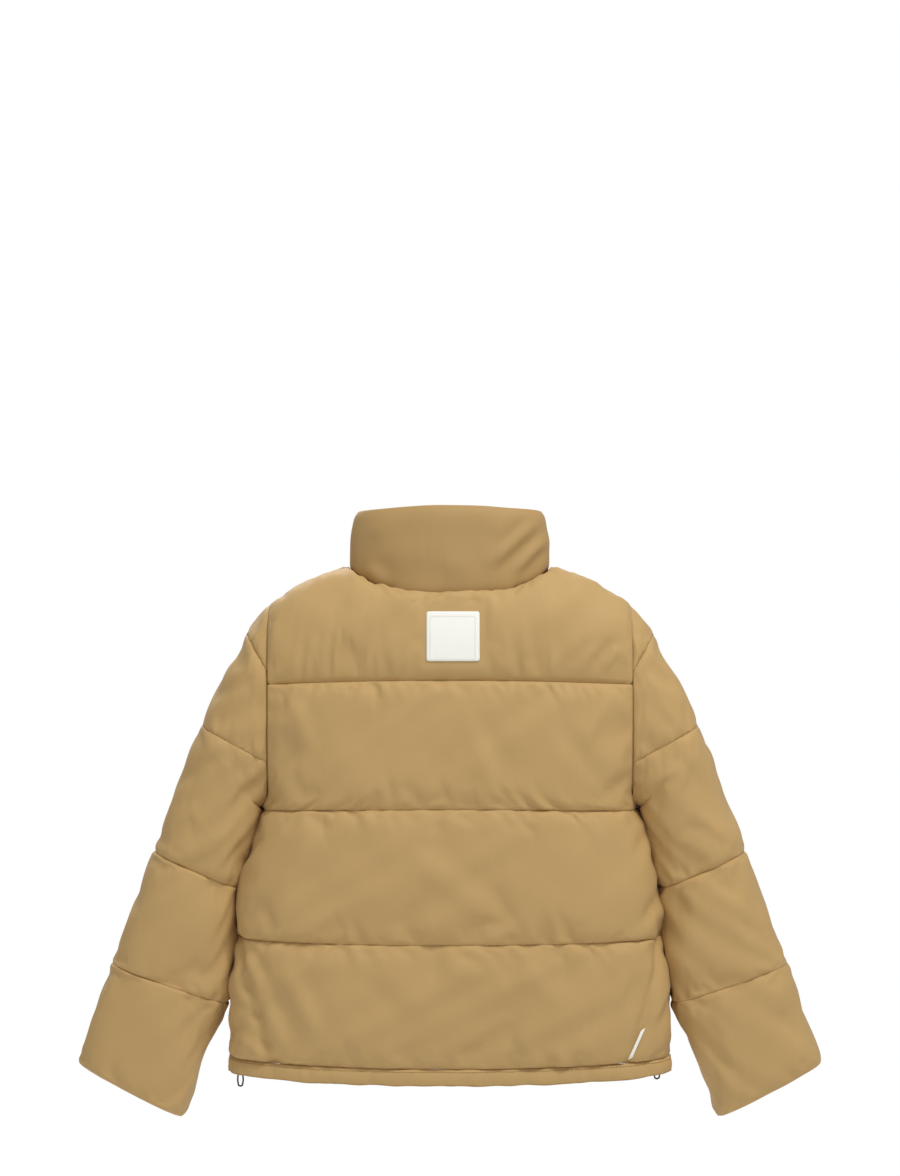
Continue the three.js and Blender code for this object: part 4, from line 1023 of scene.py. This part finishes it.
def laid_patch(name, node, corners, thick, lift, bow, steps):
    """A flat label sewn on the back: corners are (x, z) from its upper left round to its lower left."""
    corners = np.array(corners, float)
    rows = []
    for v in np.linspace(0, 1, steps[0]):
        row = []
        for u in np.linspace(0, 1, steps[1]):
            x, z = lerp(lerp(corners[0], corners[1], u), lerp(corners[3], corners[2], u), v)
            row.append([x, back_surface(x, z) + lift + bow * math.sin(math.pi * u) * math.sin(math.pi * v), z])
        rows.append(row)
    grid = np.array(rows)
    depth = grid[:, :, 1]
    for _ in range(10):
        depth[1:-1] = (depth[:-2] + 2 * depth[1:-1] + depth[2:]) / 4
        depth[:, 1:-1] = (depth[:, :-2] + 2 * depth[:, 1:-1] + depth[:, 2:]) / 4
    sheet_piece(name, node, grid[:, ::-1], 0, thick, WHITE)
    return grid


PATCH = [(-35.1, -24), (27.9, -24), (27.9, -83), (-35.1, -83)]
patch = laid_patch("white_label_patch", "label_patch", PATCH, 0.9, 1.3, 0.4, (14, 14))
rim = np.concatenate([patch[1, 1:-1], patch[1:-1, -2], patch[-2, -2:0:-1], patch[-2:0:-1, 1]]) + (0, 1.15, 0)
stitches("patch_stitching", rim, np.tile((0, 1, 0), (len(rim), 1)), WHITE, length=2.2, gap=0.7, thick=0.25)
TAG = [(-232.6, -519.5), (-227.4, -522.5), (-211.4, -558.5), (-216.6, -555.5)]
laid_patch("white_side_tag", "side_tag", TAG, 0.8, 2.2, 1.2, (12, 5))


def inner_label():
    """A folded satin label on the back lining below the hanging loop."""
    low, high = box_mm("size_label")
    rows = []
    for z in np.linspace(high[2], low[2], 10):
        y = lerp(low[1], high[1], ((high[2] - z) / (high[2] - low[2])) ** 0.8) - 1.2
        rows.append([[x, y, z] for x in np.linspace(low[0], high[0], 8)])
    sheet_piece("folded_size_label", "size_label", np.array(rows), 0, 0.7, WHITE)


inner_label()


def cord_piece(name, node, points, radius):
    """A cord as a smooth curve with a round section."""
    curve = bpy.data.curves.new(name, "CURVE")
    curve.dimensions = "3D"
    curve.bevel_depth, curve.bevel_resolution = radius * 0.001, 4
    curve.use_fill_caps = True
    spline = curve.splines.new("NURBS")
    spline.points.add(len(points) - 1)
    for p, co in zip(spline.points, metres(points)):
        p.co = (*co, 1)
    spline.use_endpoint_u, spline.order_u, spline.resolution_u = True, 4, 6
    obj = place_object(name, curve)
    curve.materials.append(CORD)
    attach(obj, "body")
    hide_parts(node)
    return obj


def hanging_loop():
    low, high = box_mm("hanger_loop")
    middle = (high[2] + low[2]) / 2
    turn = np.linspace(0, math.pi, 40)
    across = (high[0] - low[0]) / 2 - 1.6
    reach = high[1] - low[1] - 1.6
    x = -across * np.cos(turn)
    y = high[1] - reach * np.sin(turn)
    line = np.stack([x, y, np.full(40, middle)], 1)
    rows = []
    for k, a in enumerate(turns(12)):
        tilt = np.stack([-np.cos(turn), -np.sin(turn), np.zeros(40)], 1)
        rows.append(line + tilt * 1.5 * math.cos(a) + np.array([0, 0, 1]) * 2.9 * math.sin(a))
    ring = np.array(rows).transpose(1, 0, 2)
    verts = metres(ring.reshape(-1, 3))
    faces = grid_faces(40, 12, ring=True)
    faces += [tuple(range(12)), tuple(range(39 * 12 + 11, 39 * 12 - 1, -1))]
    piece("hanging_loop_rouleau", verts, faces, LINING, nodes=["hanger_loop"], levels=1)


hanging_loop()

# --- Hem cord, locks and loops -------------------------------------------------------------------------

LOCK_Z = (HEM_SEAM[1] + HEM_EDGE[1]) / 2


def hem_cord():
    inset = 8.5 + 0.8 + 1.5
    depth, width = back_depth(LOCK_Z) - inset, side_width(LOCK_Z) - inset
    turn = lambda y: math.asin((y / depth) ** (SECTION / 2))
    points = []
    for angle in np.linspace(turn(23.5), math.pi - turn(33.5), 60):
        c = math.cos(angle)
        x = math.copysign(width * abs(c) ** (2 / SECTION), c)
        z = (seam_height(HEM_SEAM, x) + seam_height(HEM_EDGE, x)) / 2
        points.append((x, depth * math.sin(angle) ** (2 / SECTION), z))
    cord_piece("hem_drawcord_elastic", "hem_drawcord", points, 1.5)


def cord_loops():
    for side, y, drop in (("left", 10, 599), ("right", 20, 588.5)):
        low, high = box_mm(f"{side}_cord_lock_barrel")
        x = (low[0] + high[0]) / 2
        top, bottom, half = LOCK_Z - 4.8, -drop + 0.75, 3.4
        shoulder = bottom + half
        points = [
            (x - 1.6, y, top), (x - 2.4, y, lerp(top, shoulder, 0.3)), (x - half, y, lerp(top, shoulder, 0.8)),
            (x - half * 0.72, y, bottom + half * 0.3), (x, y, bottom), (x + half * 0.72, y, bottom + half * 0.3),
            (x + half, y, lerp(top, shoulder, 0.8)), (x + 2.4, y, lerp(top, shoulder, 0.3)), (x + 1.6, y, top),
        ]
        fine = []
        for a, b in zip(points, points[1:]):
            fine += [tuple(lerp(np.array(a, float), np.array(b, float), t)) for t in (0, 0.34, 0.67)]
        fine.append(points[-1])
        loop = cord_piece(f"{side}_cord_loop_elastic", f"{side}_cord_loop", fine, 1.0)


hem_cord()
cord_loops()

# --- Zips -----------------------------------------------------------------------------------------------


def leaning(angle):
    """Turns a point about the front-to-back axis."""
    c, s = math.cos(angle), math.sin(angle)
    return np.array([[c, 0, s], [0, 1, 0], [-s, 0, c]])


def tooth_row(name, node, pitch, height, half, depth, length, slant=0.0, hollow=0.0):
    """Rows of single zip teeth, each a small block with a rounded nose."""
    verts, faces = [], []
    low, high = box_mm(node)
    centre, turn = (low + high) / 2, leaning(slant)
    count = int(length / pitch)
    spans = [(-half, half)] if not hollow else [(-half, -hollow), (hollow, half)]
    for k in range(count):
        z = -length / 2 + (k + 0.5) * length / count
        for x0, x1 in spans:
            nose = (x1 - x0) * 0.25
            low_side, high_side = -depth * 0.6, depth * 0.6
            outline = [(x0, low_side), (x0, high_side), (x0 + nose, depth), (x1 - nose, depth)]
            outline += [(x1, high_side), (x1, low_side), (x1 - nose, -depth), (x0 + nose, -depth)]
            b = len(verts)
            for dz, s in ((-height / 2, 0.86), (-height * 0.3, 1.0), (height * 0.3, 1.0), (height / 2, 0.86)):
                middle = (x0 + x1) / 2
                verts += [turn @ np.array([middle + (x - middle) * s, y * s, z + dz]) + centre for x, y in outline]
            for ring in range(3):
                for i in range(8):
                    j = (i + 1) % 8
                    a = b + ring * 8
                    faces.append((a + i, a + 8 + i, a + 8 + j, a + j))
            faces += [tuple(b + i for i in range(8)), tuple(b + 31 - i for i in range(8))]
    piece(name, metres(verts), faces, TEETH, nodes=[node], flat=True)


def strip(name, node, material, ripple, thick, columns=6, bulge=0.0):
    """A long upright strip of cloth in a node's box: ribbed tape or a padded flap."""
    low, high = box_mm(node)
    xs, zs = np.linspace(low[0], high[0], columns), np.linspace(high[2], low[2], 90)
    y = (low[1] + high[1]) / 2 - thick / 2
    grid = np.array([[[x, y, z] for x in xs] for z in zs])
    flat = grid.reshape(-1, 3)
    out = wave(flat[:, 0] / 6, flat[:, 2] / 24, flat[:, 1] * 0, 71.0) * ripple
    out = out + bulge * np.sin(math.pi * (flat[:, 0] - low[0]) / (high[0] - low[0]))
    sheet_piece(name, node, grid, out, thick, material)


for side, sign in SIDES:
    low, high = box_mm(f"{side}_zip_teeth")
    half, depth, length = (high - low) / (2, 2, 1)
    tooth_row(f"{side}_zip_teeth_row", f"{side}_zip_teeth", 4.6, 3.0, half, depth, length)
    strip(f"{side}_zip_tape_cloth", f"{side}_zip_tape", TAPE, 0.25, 0.8)
strip("zip_wind_flap_cloth", "zip_wind_flap", LINING, 1.0, 1.4, columns=7, bulge=0.8)

POCKET_INSET, POCKET_LEAN = 13.6, math.radians(18)
TAPE_NEAR, TAPE_FAR, TAPE_HALF_LENGTH = 3.4, 7.4, 75
for side, sign in SIDES:
    chain = f"{side}_pocket_zip_chain"
    low, high = box_mm(chain)
    centre, slant = (low + high) / 2, -POCKET_LEAN * sign
    tooth_row(f"{side}_pocket_zip_coil", chain, 3.0, 2.0, half=4.2, depth=1.3, length=146, slant=slant, hollow=1.2)
    turn = leaning(slant)
    for place, x0, x1 in (("front", -TAPE_FAR, -TAPE_NEAR), ("side", TAPE_NEAR, TAPE_FAR)):
        down = np.linspace(TAPE_HALF_LENGTH, -TAPE_HALF_LENGTH, 40)
        tape = np.array([turn @ np.array([x, 1.0, z]) + centre for z in down for x in np.linspace(x0, x1, 4)])
        solid, closed, _ = padded_solid(metres(tape), metres(tape + (0, 0.8, 0)), grid_faces(40, 4))
        piece(f"{side}_pocket_tape_{place}", solid, closed, TAPE)
    low, high = box_mm(f"{side}_pocket_bag")
    inner_x, outer_x = (low[0], high[0]) if sign > 0 else (high[0], low[0])
    us, vs = np.linspace(0, 1, 26), np.linspace(0, 1, 36)
    rows = []
    for v in vs:
        z = lerp(high[2] - 1, low[2] + 1, v)
        round_off = 12 * max(0.0, (v - 0.9) / 0.1) ** 2
        xs = lerp(inner_x + sign * (2 + round_off), outer_x - sign * (2 + round_off), us)
        width = side_width(z) - POCKET_INSET
        y = -(FRONT_DEPTH - POCKET_INSET) * (1 - np.clip(np.abs(xs) / width, 0, 1) ** SECTION) ** (1 / SECTION)
        rows.append(np.stack([xs, y, np.full(26, z)], 1))
    grid = np.array(rows)
    sheet_piece(
        f"{side}_pocket_bag_cloth", f"{side}_pocket_bag", grid[:, ::sign], 0, 1.2, POCKETING,
    )

for name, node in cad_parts.items():
    if node.hide_render:
        continue
    finish = BRASS if ("slider" in name or "pull" in name) else LOCK if "lock" in name else TEETH
    node.data.materials.clear()
    node.data.materials.append(finish)

# --- Camera, light and backdrop --------------------------------------------------------------------------


def area_light(name, place, aim, size, power):
    data = bpy.data.lights.new(name, "AREA")
    data.shape, data.size, data.energy = "DISK", size, power
    obj = place_object(name, data)
    obj.location = place
    obj.rotation_euler = (Vector(aim) - Vector(place)).to_track_quat("-Z", "Y").to_euler()


def studio():
    camera = bpy.data.cameras.new("camera")
    camera.sensor_fit, camera.sensor_height, camera.sensor_width = "VERTICAL", 36, 36
    camera.lens = 36 * 3.5 / 1.4112
    camera.clip_end = 50
    obj = place_object("camera", camera)
    centre = metres([0, 34.4, 3.6])
    obj.location = (centre[0], 3.5, centre[2])
    obj.rotation_euler = (HALF_TURN, 0, math.pi)
    bpy.context.scene.camera = obj
    world = bpy.data.worlds.new("studio_air")
    bpy.context.scene.world = world
    world.use_nodes = True
    air, links = world.node_tree.nodes, world.node_tree.links
    air["Background"].inputs["Color"].default_value = (1, 1, 1, 1)
    seen, soft = air.new("ShaderNodeLightPath"), air.new("ShaderNodeMapRange")
    soft.inputs["To Min"].default_value, soft.inputs["To Max"].default_value = 0.47, 1.0
    links.new(seen.outputs["Is Camera Ray"], soft.inputs["Value"])
    links.new(soft.outputs[0], air["Background"].inputs["Strength"])
    bpy.context.scene.view_settings.view_transform = "Standard"
    floor = bpy.data.materials.new("pale_floor")
    floor.use_nodes = True
    shader = floor.node_tree.nodes["Principled BSDF"]
    shader.inputs["Base Color"].default_value = (0.93, 0.93, 0.93, 1)
    shader.inputs["Roughness"].default_value = 0.9
    mesh = bpy.data.meshes.new("floor")
    mesh.from_pydata([(-4, -3, -1.4), (4, -3, -1.4), (4, 5, -1.4), (-4, 5, -1.4)], [], [(0, 1, 2, 3)])
    mesh.materials.append(floor)
    ground = place_object("floor", mesh)
    area_light("key", (-1.1, 1.5, 3.0), (0, 0, -0.25), 1.0, 84)
    area_light("fill", (0.6, 3.2, 0.6), (0, 0, -0.3), 2.2, 9)
    area_light("far_side", (0.9, -2.6, 1.8), (0, 0, -0.3), 1.8, 48)


studio()
